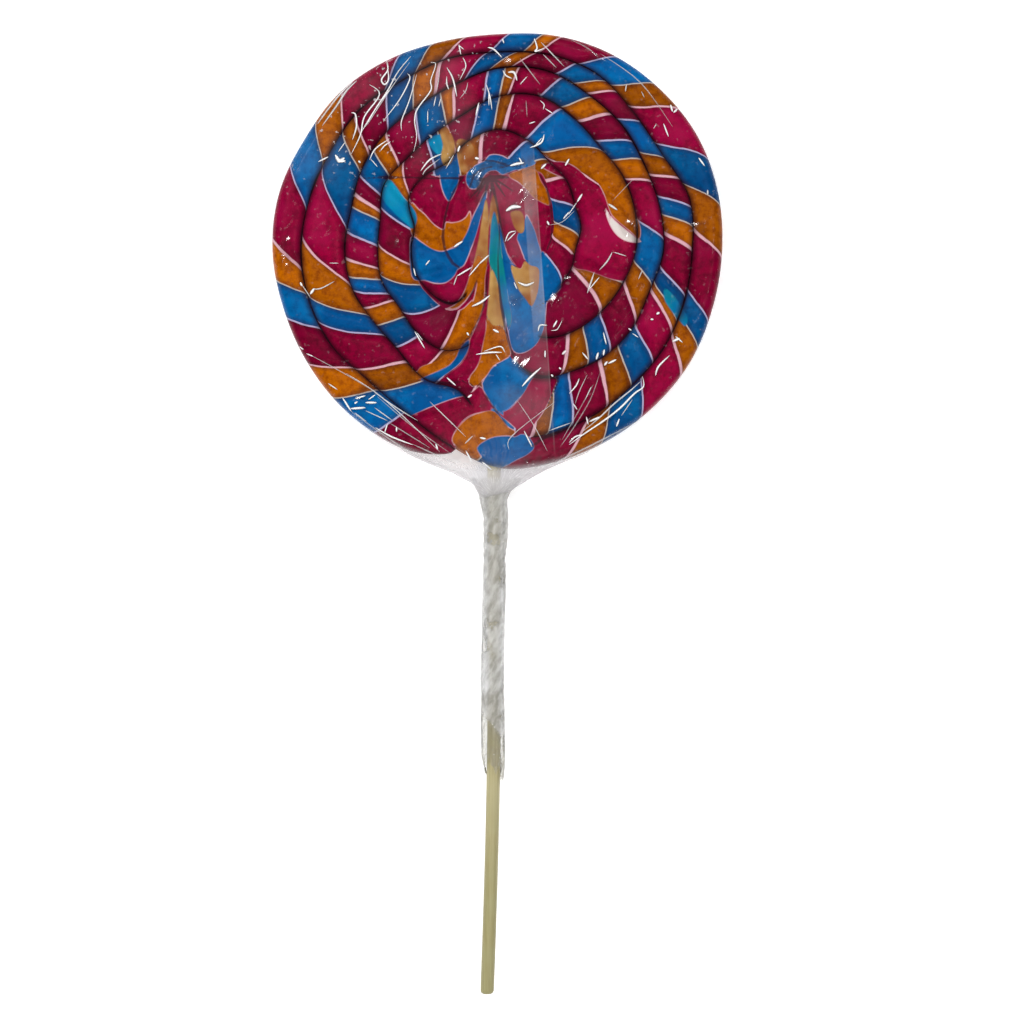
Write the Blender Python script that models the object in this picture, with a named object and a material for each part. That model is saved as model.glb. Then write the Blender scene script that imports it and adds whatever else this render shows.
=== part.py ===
"""Swirl lollipop: one twisted candy rope wound into a flat coil, a bamboo stick pushed into it, and the clear
film of its wrapper gathered round the stick. It lies face up, with the stick towards -Y. The origin is the middle
of the coil's flat underside. Angles on the coil run clockwise from the stick, seen from above."""

import math

import bmesh
import bpy

MM = 0.001

# Candy rope and coil
HEAD_THICKNESS = 12.0
RIM_HEIGHT = 6.0
TOP_GROOVE_DEPTH = 3.0
UNDER_GROOVE_DEPTH = 1.2
STEPS_PER_TURN = 72
ROPE_START = 12.0
START_ROUNDING = 15.0
FULL_TURNS = 5

# Rope edges: the radius of the coil's spiral edge every 30 degrees, one turn a row, from the outline inwards
EDGE_STEP = 30.0
EDGE_RADII = (
    (66.2, 66.5, 67.8, 67.0, 66.0, 64.8, 68.0, 69.1, 67.4, 66.8, 65.9, 65.2),
    (56.1, 57.5, 59.0, 58.2, 58.2, 59.1, 60.2, 56.9, 58.2, 57.7, 57.3, 52.8),
    (44.3, 43.1, 45.9, 47.3, 49.2, 54.3, 53.8, 50.7, 49.6, 46.6, 42.6, 38.4),
    (34.6, 34.4, 36.0, 39.3, 39.6, 45.9, 45.5, 43.4, 41.3, 36.3, 31.8, 27.0),
    (23.2, 24.9, 26.0, 30.8, 30.2, 36.0, 30.5, 26.6, 23.3, 22.1, 20.2, 17.4),
    (15.0, 14.1, 15.3, 18.6, 23.6, 25.5, 23.9, 19.1, 13.8, 13.5, 13.2, 13.2),
)

# Stations across the rope: -1 is the outer edge, 1 the inner edge and 0 the crown
TOP_STATIONS = (-1.0, -0.9, -0.6, 0.0, 0.6, 0.9, 1.0)
UNDER_STATIONS = (-1.0, -0.8, 0.0, 0.8, 1.0)
FREE_UNDER_STATIONS = (-1.0, -0.85, -0.5, 0.8, 1.0)
CROWN_POWER = 3.0
CENTRE_RINGS = (0.88, 0.62, 0.3)

# Stick
STICK_DIAMETER = 4.05
STICK_SIDES = 16
STICK_X = -1.2
STICK_TOP = 20.0
STICK_TIP = -223.5
STICK_BEND_START = -140.0
STICK_BEND = 2.1
STICK_END_ROUNDING = 1.4
CLEARANCE = 0.3

# Drag mark: where the stick went in, the soft rope was pulled along with it up to a pinched hollow
PINCH_Y = 21.6
DRAG_BOTTOM = -48.0
DRAG_RISE = 12.0
DRAG_HALF_WIDTH = 7.0
CREASE_DEPTH = 2.2
CREASE_HALF_WIDTH = 2.0
PINCH_DEPTH = 2.4
PINCH_RADIUS = 3.0
ROOF_OVER_STICK = 0.6

# Film gathered below the coil: distance below the coil's centre, left edge, right edge, half the thickness
FILM_SECTIONS = (
    (58.2, -31.4, 29.6, 4.2),
    (60.6, -27.0, 26.1, 4.2),
    (63.3, -22.4, 19.4, 4.2),
    (66.8, -13.6, 12.9, 4.2),
    (69.6, -7.5, 7.8, 4.2),
    (72.6, -6.2, 4.2, 4.0),
    (75.0, -5.6, 3.0, 3.9),
    (80.1, -4.5, 3.3, 3.6),
    (85.8, -4.4, 3.3, 3.5),
    (93.0, -4.4, 2.4, 3.4),
    (103.5, -4.9, 2.5, 3.4),
    (114.0, -5.0, 2.1, 3.4),
    (124.5, -5.2, 2.0, 3.4),
    (132.0, -5.3, 2.0, 3.3),
    (140.4, -5.3, 2.1, 3.3),
    (153.0, -5.2, 2.2, 3.2),
    (156.6, -4.6, 1.8, 3.0),
)
FILM_SIDES = 24
FILM_STEP = 2.6
FILM_PLEATS = 5
FILM_PLEAT_RELIEF = 0.05
FILM_TWIST_PITCH = 42.0

# Finishes: base colour, roughness and transmission
CANDY_FINISH = ((0.25, 0.008, 0.035), 0.25, 0.0)
BAMBOO_FINISH = ((0.50, 0.43, 0.24), 0.6, 0.0)
FILM_FINISH = ((0.62, 0.61, 0.58), 0.2, 0.3)


def clear_scene():
    for obj in list(bpy.data.objects):
        bpy.data.objects.remove(obj, do_unlink=True)


def material(name, finish):
    colour, roughness, transmission = finish
    made = bpy.data.materials.new(name)
    made.use_nodes = True
    shader = made.node_tree.nodes["Principled BSDF"]
    shader.inputs["Base Color"].default_value = (*colour, 1.0)
    shader.inputs["Roughness"].default_value = roughness
    shader.inputs["Transmission Weight"].default_value = transmission
    made.diffuse_color = (*colour, 1.0)
    return made


def object_from(bm, name, finish_name=None, finish=None):
    """Turns a bmesh in millimetres into a named object in metres, with its faces pointing out."""
    bmesh.ops.scale(bm, vec=(MM, MM, MM), verts=bm.verts)
    bmesh.ops.recalc_face_normals(bm, faces=bm.faces)
    mesh = bpy.data.meshes.new(name)
    bm.to_mesh(mesh)
    bm.free()
    made = bpy.data.objects.new(name, mesh)
    bpy.context.scene.collection.objects.link(made)
    if finish:
        mesh.materials.append(material(finish_name, finish))
        mesh.shade_smooth()
        mesh.set_sharp_from_angle(angle=math.radians(50))
    else:
        made.hide_render = True
        made.display_type = "WIRE"
    return made


def between(before, start, end, after, share):
    """A smooth curve through evenly spaced values, read between start and end."""
    slope_in = (end - before) / 2
    slope_out = (after - start) / 2
    bow = 3 * (end - start) - 2 * slope_in - slope_out
    return start + share * (slope_in + share * (bow + share * (slope_in + slope_out - 2 * (end - start))))


def edge_radius(angle):
    """Radius of the spiral edge at an angle in degrees: below 0 it is the outline, and it is one turn in each 360."""
    radii = [radius for row in EDGE_RADII for radius in row]
    place = (angle + 360.0) / EDGE_STEP - 1.0
    index = min(max(math.floor(place), 0), len(radii) - 2)
    around = [radii[min(max(index + shift, 0), len(radii) - 1)] for shift in (-1, 0, 1, 2)]
    return between(*around, min(max(place - index, 0.0), 1.0))


def grown(angle):
    """Share of its full section that the rope has reached: its outer end is rounded off."""
    left = 1.0 - min((angle - ROPE_START) / START_ROUNDING, 1.0)
    return math.sqrt(1.0 - left * left)


def outer_radius(angle):
    """Radius of the rope's outer edge, one turn outside its inner edge."""
    inner = edge_radius(angle)
    return inner + (edge_radius(angle - 360.0) - inner) * grown(angle)


def in_window(y):
    """From 0 at both ends of the drag mark to 1 halfway along it."""
    share = (y - DRAG_BOTTOM) / (PINCH_Y - DRAG_BOTTOM)
    return math.sin(math.pi * min(max(share, 0.0), 1.0)) ** 2


def dragged(x, y):
    rise = DRAG_RISE * math.exp(-(((x - STICK_X) / DRAG_HALF_WIDTH) ** 2)) * in_window(y)
    return x, y + rise


def plan_point(angle, radius):
    turned = math.radians(angle)
    return dragged(-radius * math.sin(turned), -radius * math.cos(turned))


def creased(x, y, z):
    """Lowers the face along the drag mark and at the pinch, and keeps a roof over the stick."""
    along = CREASE_DEPTH * math.exp(-(((x - STICK_X) / CREASE_HALF_WIDTH) ** 2)) * in_window(y)
    from_pinch = math.hypot(x - STICK_X, y - PINCH_Y) / PINCH_RADIUS
    pinch = PINCH_DEPTH * math.exp(-(from_pinch**2))
    roof = RIM_HEIGHT + STICK_DIAMETER / 2 + CLEARANCE + ROOF_OVER_STICK
    return max(z - along - pinch, min(z, roof))


def crown_height(station, edge_height, crown_height_here):
    """Height of the rounded top at a station across the rope."""
    fall = (1.0 - abs(station) ** CROWN_POWER) ** (1.0 / CROWN_POWER)
    return edge_height + (crown_height_here - edge_height) * fall


class Coil:
    """The coil's surface. Neighbouring turns share the vertices of the groove between them."""

    def __init__(self):
        self.bm = bmesh.new()
        self.last = FULL_TURNS * STEPS_PER_TURN
        self.start = self.rim_vertex(0)
        self.top = [self.top_row(step) for step in range(self.last + 1)]
        self.under = [self.under_row(step) for step in range(self.last + 1)]

    def angle(self, step):
        return ROPE_START + step * 360.0 / STEPS_PER_TURN

    def place(self, step, station):
        outer = outer_radius(self.angle(step))
        inner = edge_radius(self.angle(step))
        return plan_point(self.angle(step), outer + (inner - outer) * (station + 1.0) / 2.0)

    def rim_vertex(self, step):
        return self.bm.verts.new((*self.place(step, -1.0), RIM_HEIGHT))

    def top_row(self, step):
        """Vertices across the top at one step. The outer one belongs to the turn outside, or to the rim."""
        if step == 0:
            return [self.start] * len(TOP_STATIONS)
        free = step <= STEPS_PER_TURN
        rise = (HEAD_THICKNESS - RIM_HEIGHT) * grown(self.angle(step))
        crown = RIM_HEIGHT + rise
        groove = HEAD_THICKNESS - TOP_GROOVE_DEPTH
        row = [None]
        for station in TOP_STATIONS[1:]:
            edge = RIM_HEIGHT if free and station < 0 else groove
            x, y = self.place(step, station)
            z = crown_height(station, edge, crown if station < 1.0 else groove)
            row.append(self.bm.verts.new((x, y, creased(x, y, z))))
        return row

    def under_row(self, step):
        """Vertices across the underside at one step: flat, with a shallow groove each side."""
        if step == 0:
            return [self.start] * len(UNDER_STATIONS)
        free = step <= STEPS_PER_TURN
        flat = RIM_HEIGHT * (1.0 - grown(self.angle(step)))
        stations = FREE_UNDER_STATIONS if free else UNDER_STATIONS
        heights = (None, RIM_HEIGHT * 0.3 if free else 0.0, 0.0, 0.0, None)
        row = [None]
        for station, height in zip(stations[1:-1], heights[1:-1]):
            row.append(self.bm.verts.new((*self.place(step, station), flat + height)))
        row.append(self.bm.verts.new((*self.place(step, 1.0), UNDER_GROOVE_DEPTH)))
        return row

    def share_edges(self):
        """Joins each outer edge to the inner edge one turn further out, and top to underside round the rim."""
        for step in range(1, self.last + 1):
            if step < STEPS_PER_TURN:
                self.top[step][0] = self.under[step][0] = self.rim_vertex(step)
            else:
                self.top[step][0] = self.top[step - STEPS_PER_TURN][-1]
                self.under[step][0] = self.under[step - STEPS_PER_TURN][-1]

    def face(self, *corners):
        """A face without repeated corners, or none where the rope has no width."""
        kept = [v for i, v in enumerate(corners) if v is not corners[i - 1]]
        if len(kept) > 2:
            self.bm.faces.new(kept)

    def strips(self):
        for rows in (self.top, self.under):
            for before, after in zip(rows, rows[1:]):
                for i in range(len(before) - 1):
                    self.face(before[i], before[i + 1], after[i + 1], after[i])

    def centre_loop(self, rows):
        """The vertices round the coil's open middle: the last turn's inner edge, then the rope's cut end."""
        inner = [row[-1] for row in rows[-STEPS_PER_TURN - 1 :]]
        return inner[1:] + rows[-1][-2:0:-1] + [rows[-1][0]]

    def fill_centre(self, rows, is_top):
        """Fills the middle with rings that shrink onto the coil's centre."""
        loop = self.centre_loop(rows)
        loop = loop[:-1] if loop[-1] is loop[0] else loop
        outer = loop
        for share in CENTRE_RINGS:
            ring = []
            for vertex in loop:
                x, y = vertex.co.x * share, vertex.co.y * share
                z = creased(x, y, HEAD_THICKNESS) if is_top else 0.0
                ring.append(self.bm.verts.new((x, y, z)))
            for i in range(len(loop)):
                self.face(outer[i - 1], outer[i], ring[i], ring[i - 1])
            outer = ring
        middle = self.bm.verts.new((0.0, 0.0, creased(0.0, 0.0, HEAD_THICKNESS) if is_top else 0.0))
        for i in range(len(outer)):
            self.face(outer[i - 1], outer[i], middle)

    def build(self):
        self.share_edges()
        self.strips()
        self.fill_centre(self.top, True)
        self.fill_centre(self.under, False)
        return self.bm


def loft(rings):
    """A closed skin over rings of equal count, with a face over each end."""
    bm = bmesh.new()
    rows = [[bm.verts.new(point) for point in ring] for ring in rings]
    for before, after in zip(rows, rows[1:]):
        for i in range(len(before)):
            bm.faces.new((before[i - 1], before[i], after[i], after[i - 1]))
    bm.faces.new(rows[0])
    bm.faces.new(rows[-1])
    return bm


def stick_x(y):
    """The stick is straight in the coil and bends gently to the left towards its tip."""
    share = max(STICK_BEND_START - y, 0.0) / (STICK_BEND_START - STICK_TIP)
    return STICK_X - STICK_BEND * share**1.5


def stick_ring(y, radius):
    turns = [2.0 * math.pi * side / STICK_SIDES for side in range(STICK_SIDES)]
    return [(stick_x(y) + radius * math.cos(t), y, RIM_HEIGHT + radius * math.sin(t)) for t in turns]


def stick_stations(top, tip):
    """Places along the stick: close together only where it bends."""
    bend_steps = 6
    straight = [top, (top + STICK_BEND_START) / 2, STICK_BEND_START]
    bent = [STICK_BEND_START + (tip - STICK_BEND_START) * n / bend_steps for n in range(1, bend_steps + 1)]
    return straight + bent


def rounded_rings(stations, radius, rounding):
    """Rings along the stick, with a rounded end at both the first and the last station."""
    first, last = stations[0], stations[-1]
    arcs = [math.radians(degrees) for degrees in (0.0, 35.0, 65.0)]
    near = [(first - rounding * (1 - math.sin(a)), radius - rounding * (1 - math.cos(a))) for a in arcs]
    far = [(last + rounding * (1 - math.sin(a)), radius - rounding * (1 - math.cos(a))) for a in arcs]
    middle = [(y, radius) for y in stations[1:-1]]
    return [stick_ring(y, r) for y, r in near[::-1] + middle + far]


def make_stick():
    stations = stick_stations(STICK_TOP, STICK_TIP)
    bm = loft(rounded_rings(stations, STICK_DIAMETER / 2, STICK_END_ROUNDING))
    return object_from(bm, "stick", "bamboo", BAMBOO_FINISH)


def make_stick_cutter():
    """The room that the stick needs in the coil and in the film."""
    stations = stick_stations(STICK_TOP + CLEARANCE, STICK_TIP - CLEARANCE)
    bm = loft([stick_ring(y, STICK_DIAMETER / 2 + CLEARANCE) for y in stations])
    return object_from(bm, "stick_room")


def film_section(distance):
    """Left edge, right edge and half thickness of the gathered film at a distance below the coil's centre."""
    rows = FILM_SECTIONS
    index = max(i for i in range(len(rows) - 1) if rows[i][0] <= distance or i == 0)
    share = (distance - rows[index][0]) / (rows[index + 1][0] - rows[index][0])
    around = [rows[min(max(index + shift, 0), len(rows) - 1)] for shift in (0, 1)]
    return [a + (b - a) * share for a, b in zip(around[0][1:], around[1][1:])]


def film_ring(distance):
    """An oval section whose edge is pleated, with the pleats winding round the stick."""
    left, right, half_thickness = film_section(distance)
    half_width = (right - left) / 2
    ring = []
    for side in range(FILM_SIDES):
        turned = 2.0 * math.pi * side / FILM_SIDES
        pleat = math.sin(FILM_PLEATS * turned + 2.0 * math.pi * distance / FILM_TWIST_PITCH)
        swell = 1.0 - FILM_PLEAT_RELIEF * (1.0 + pleat) / 2.0
        x = (left + right) / 2 + half_width * swell * math.cos(turned)
        z = RIM_HEIGHT + half_thickness * swell * math.sin(turned)
        ring.append((x, -distance, z))
    return ring


def make_film():
    first, last = FILM_SECTIONS[0][0], FILM_SECTIONS[-1][0]
    steps = round((last - first) / FILM_STEP)
    bm = loft([film_ring(first + (last - first) * n / steps) for n in range(steps + 1)])
    return object_from(bm, "film_neck", "clear_film", FILM_FINISH)


def make_coil_cutter():
    """The coil's outline, enlarged by the clearance and standing well above and below it."""
    outline = []
    for step in range(STEPS_PER_TURN):
        angle = ROPE_START + (step + 1) * 360.0 / STEPS_PER_TURN
        radius = outer_radius(angle) + CLEARANCE * 1.5
        outline.append(plan_point(angle, radius))
    heights = (-HEAD_THICKNESS, 2 * HEAD_THICKNESS)
    return object_from(loft([[(x, y, z) for x, y in outline] for z in heights]), "coil_room")


def cut(target, cutter):
    """Takes the cutter's volume away from the target with an exact Boolean."""
    modifier = target.modifiers.new(cutter.name, "BOOLEAN")
    modifier.operation = "DIFFERENCE"
    modifier.solver = "EXACT"
    modifier.object = cutter


def main():
    clear_scene()
    head = object_from(Coil().build(), "candy_head", "hard_candy", CANDY_FINISH)
    film = make_film()
    make_stick()
    stick_room = make_stick_cutter()
    cut(head, stick_room)
    cut(film, make_coil_cutter())
    cut(film, stick_room)


main()
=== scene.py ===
import math

import bmesh
import bpy
import numpy as np
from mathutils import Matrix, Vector, noise


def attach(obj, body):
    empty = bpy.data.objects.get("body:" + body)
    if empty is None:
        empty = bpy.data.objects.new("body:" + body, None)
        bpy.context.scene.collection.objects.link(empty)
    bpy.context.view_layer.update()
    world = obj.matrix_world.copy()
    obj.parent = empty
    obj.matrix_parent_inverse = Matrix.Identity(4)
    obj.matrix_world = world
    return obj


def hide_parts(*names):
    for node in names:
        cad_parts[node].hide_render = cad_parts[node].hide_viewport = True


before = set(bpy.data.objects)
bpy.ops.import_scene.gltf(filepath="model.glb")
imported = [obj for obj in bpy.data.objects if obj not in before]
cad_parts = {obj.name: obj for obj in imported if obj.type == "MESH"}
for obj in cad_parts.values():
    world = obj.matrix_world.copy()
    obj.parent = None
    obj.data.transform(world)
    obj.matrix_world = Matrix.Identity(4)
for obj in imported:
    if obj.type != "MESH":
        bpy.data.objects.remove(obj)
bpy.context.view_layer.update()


# The candy coil: one rope of pulled boiled sugar, twisted from crimson, blue and orange strands with white
# between them, and wound hot into a flat coil, so that its turns fuse along dark grooves. The stick was
# pushed in from below, and dragged the soft rope up with it to a pinched hollow.

# Lengths are in millimetres from the coil's middle, angles in degrees clockwise from the stick
MM = 0.001
HEAD_THICKNESS = 12.0
RIM_HEIGHT = 6.0
TOP_GROOVE_DEPTH = 3.0
STRAND_CREASE = 1.25
STRAND_CREASE_WIDTH = 1.4
# From degrees along the rope to millimetres square across a slanting strand change, per millimetre of radius
ACROSS_CHANGE = 0.8 * math.pi / 180.0
UNDER_GROOVE_DEPTH = 1.2
ROPE_START = 12.0
START_ROUNDING = 15.0
FULL_TURNS = 5
STEPS_PER_TURN = 360
TOP_CUTS = 20
UNDER_CUTS = 8
CENTRE_CUTS = 48
UNDER_CENTRE_CUTS = 8
UNDER_LIFT = 0.1
UNDER_FLAT = 0.72
CROWN_POWER = 3.0
EDGE_STEP = 15.0
EDGE_RADII = (
    # The outline, then the groove inside each turn, every 15 degrees
    65.7, 66.2, 66.5, 66.5, 66.8, 67.8, 68.0, 67.0, 67.1, 66.0, 64.8, 64.8,
    66.6, 68.0, 68.7, 69.1, 68.4, 67.4, 66.8, 66.8, 66.3, 65.9, 65.9, 65.4,
    60.0, 56.1, 55.2, 57.5, 58.6, 59.0, 58.5, 58.2, 58.9, 58.2, 59.1, 59.1,
    60.3, 60.3, 57.7, 56.9, 59.4, 58.2, 57.9, 57.7, 57.2, 57.3, 57.3, 55.2,
    45.8, 45.0, 42.6, 43.1, 45.2, 45.9, 45.6, 47.3, 48.5, 49.2, 51.0, 54.3,
    55.5, 53.8, 52.6, 50.7, 50.1, 49.6, 47.1, 46.6, 45.2, 42.9, 42.0, 39.5,
    36.8, 36.3, 35.2, 34.4, 36.1, 36.0, 36.5, 39.3, 38.6, 39.6, 41.7, 45.9,
    47.6, 45.5, 43.4, 43.4, 42.6, 41.3, 38.8, 36.3, 34.2, 32.6, 31.5, 28.5,
    25.2, 25.0, 24.6, 24.9, 26.0, 26.0, 26.0, 30.8, 31.2, 30.2, 33.8, 36.0,
    34.0, 30.5, 29.1, 26.6, 25.7, 23.3, 22.8, 22.1, 21.7, 20.8, 20.0, 18.5,
    16.5, 15.5, 14.6, 14.1, 14.1, 15.3, 17.1, 18.6, 20.2, 23.6, 25.0, 25.4,
    24.3, 23.9, 21.9, 19.1, 17.1, 13.8, 13.4, 14.1, 13.8, 13.5, 13.2, 13.2,
)

# Where each strand gives way to the next along the rope: its angle at the outer and at the inner edge, turn
# by turn, always crimson to blue, blue to orange, orange to crimson
STRAND_CHANGES = (
    ((34.5, 29.5), (48.5, 40), (59.5, 50.5), (72.5, 65.5), (82.5, 76.5), (93.5, 83.5),
     (113.5, 101.5), (126, 115.5), (137, 127), (154.5, 144), (163.5, 154.5), (172.5, 163),
     (184, 177), (192.5, 187), (197.5, 191), (212.5, 203), (224, 214), (233, 222),
     (247.5, 235.5), (259.5, 250), (272.5, 263.5), (289.5, 281.5), (296.5, 289.5), (305, 295.5),
     (320, 311), (332.5, 323.5), (343, 331), (360, 350), (366, 359.5), (374, 361.5)),
    ((27, 8.5), (40.5, 28), (50.5, 38), (69, 52), (77, 62.5), (94.5, 76),
     (116, 97), (127.5, 119), (133.5, 126), (146, 137), (155, 148.5), (163.5, 157.5),
     (177.5, 168.5), (186.5, 176.5), (191.5, 184), (203, 198), (213.5, 203.5), (217.5, 209.5),
     (228.5, 222), (241.5, 235), (249, 243.5), (258, 251), (263.5, 257.5), (270.5, 264),
     (284.5, 275.5), (292.5, 281), (296, 284), (306.5, 298.5), (316, 308.5), (325.5, 317),
     (337.5, 330), (345.5, 336), (350, 343), (356, 349), (366, 358), (371, 364)),
    ((24.5, 18.5), (30, 21), (33.5, 26.5), (46.5, 41), (58, 53.5), (66.5, 63.5),
     (74.5, 67), (80, 75), (87, 80.5), (97, 91.5), (106.5, 103.5), (111.5, 107.5),
     (118.5, 114.5), (129, 124), (136.5, 130), (150.5, 143), (160, 157.5), (165.5, 161),
     (177, 174.5), (182.5, 180.5), (187, 183.5), (201, 195), (212, 203.5), (220.5, 211.5),
     (232, 221.5), (238.5, 231.5), (246.5, 240.5), (267, 257.5), (283.5, 274), (298.5, 283.5),
     (313, 301.5), (323, 312), (334, 320.5)),
    ((-2, -6), (8, 4), (28, 23.5), (57, 39.5), (78.5, 61.5), (93.5, 77.5),
     (110, 101), (123.5, 117), (133.5, 121), (147.5, 142), (153, 150), (157.5, 156),
     (173.5, 166), (181, 177.5), (186, 182.5), (205, 193.5), (228, 202.5), (266, 204.5),
     (284, 281), (285, 282), (302, 284.5), (350, 318), (363, 343), (376, 362)),
    ((71, 58), (100.5, 86.5), (120, 110.5), (141.5, 133.5), (158, 152), (173, 167),
     (196, 183.5), (209.5, 194), (223.5, 211.5), (242.5, 226), (262.5, 244.5), (277, 257),
     (301, 278), (328, 298), (350, 325), (372, 350), (392, 372), (410, 392)),
)

# The drag mark
STICK_X = -1.2
PINCH_Y = 21.6
DRAG_TURN_Y = -22.5
DRAG_BOTTOM = -57.0
DRAG_SHARE = 0.8
DRAG_REACH = 6.0
DRAG_BLUNTING = 0.35
DRAG_LEAD = 0.6
MARK_X = STICK_X + 0.8
MARK_END_Y = -48.0
MARK_WIDTH = 2.4
MARK_DEPTH = 1.32
PINCH_DEPTH = 3.4
PINCH_RADIUS = 3.4


def spline(values, place):
    """Reads a smooth curve through evenly spaced values at each place, counted in steps from the first."""
    values = np.asarray(values, float)
    index = np.clip(np.floor(place).astype(int), 0, len(values) - 2)
    share = np.clip(place - index, 0.0, 1.0)
    before, start, end, after = (values[np.clip(index + shift, 0, len(values) - 1)]
                                 for shift in (-1, 0, 1, 2))
    slope_in = (end - before) / 2
    slope_out = (after - start) / 2
    bow = 3 * (end - start) - 2 * slope_in - slope_out
    return start + share * (slope_in + share * (bow + share * (slope_in + slope_out - 2 * (end - start))))


def edge_radius(angle):
    """How far from the middle the rope's inner edge is, the outline first and then turn by turn."""
    return spline(EDGE_RADII, (np.asarray(angle, float) + 360.0) / EDGE_STEP - 1.0)


def grown(angle):
    """Share of its full section that the rope has reached after its rounded outer end."""
    left = 1.0 - np.clip((np.asarray(angle, float) - ROPE_START) / START_ROUNDING, 0.0, 1.0)
    return np.sqrt(1.0 - left * left)


def outer_radius(angle):
    """How far from the middle the rope's outer edge is."""
    inner = edge_radius(angle)
    return inner + (edge_radius(angle - 360.0) - inner) * grown(angle)


def pull(y):
    """How far the rope on the stick's own line was pulled up, at each height on the coil."""
    rising = np.clip(PINCH_Y - y, 0.0, PINCH_Y - DRAG_TURN_Y) * DRAG_SHARE
    share = np.clip((DRAG_TURN_Y - y) / (DRAG_TURN_Y - DRAG_BOTTOM), 0.0, 1.0)
    return rising * (1.0 - share * share * (3.0 - 2.0 * share))


def dragged(x, y):
    """Places moved by the drag, which fades with the distance from the stick's line."""
    away = np.sqrt((x - STICK_X) ** 2 + DRAG_BLUNTING) - DRAG_LEAD
    return x, y + pull(y) * np.exp(-away / DRAG_REACH)


def plan_point(angle, radius):
    """Where a place on the coil lies after the drag."""
    turned = np.radians(angle)
    return dragged(-radius * np.sin(turned), -radius * np.cos(turned))


def stroke_depth(points, x, y):
    """How far inside a stroke each place is. A stroke is a row of x, y and half-width."""
    best = np.full(np.shape(x), -1e3)
    for (ax, ay, aw), (bx, by, bw) in zip(points, points[1:]):
        length = max((bx - ax) ** 2 + (by - ay) ** 2, 1e-9)
        t = np.clip(((x - ax) * (bx - ax) + (y - ay) * (by - ay)) / length, 0.0, 1.0)
        gap = np.hypot(x - ax - t * (bx - ax), y - ay - t * (by - ay))
        best = np.maximum(best, aw + t * (bw - aw) - gap)
    return best


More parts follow.
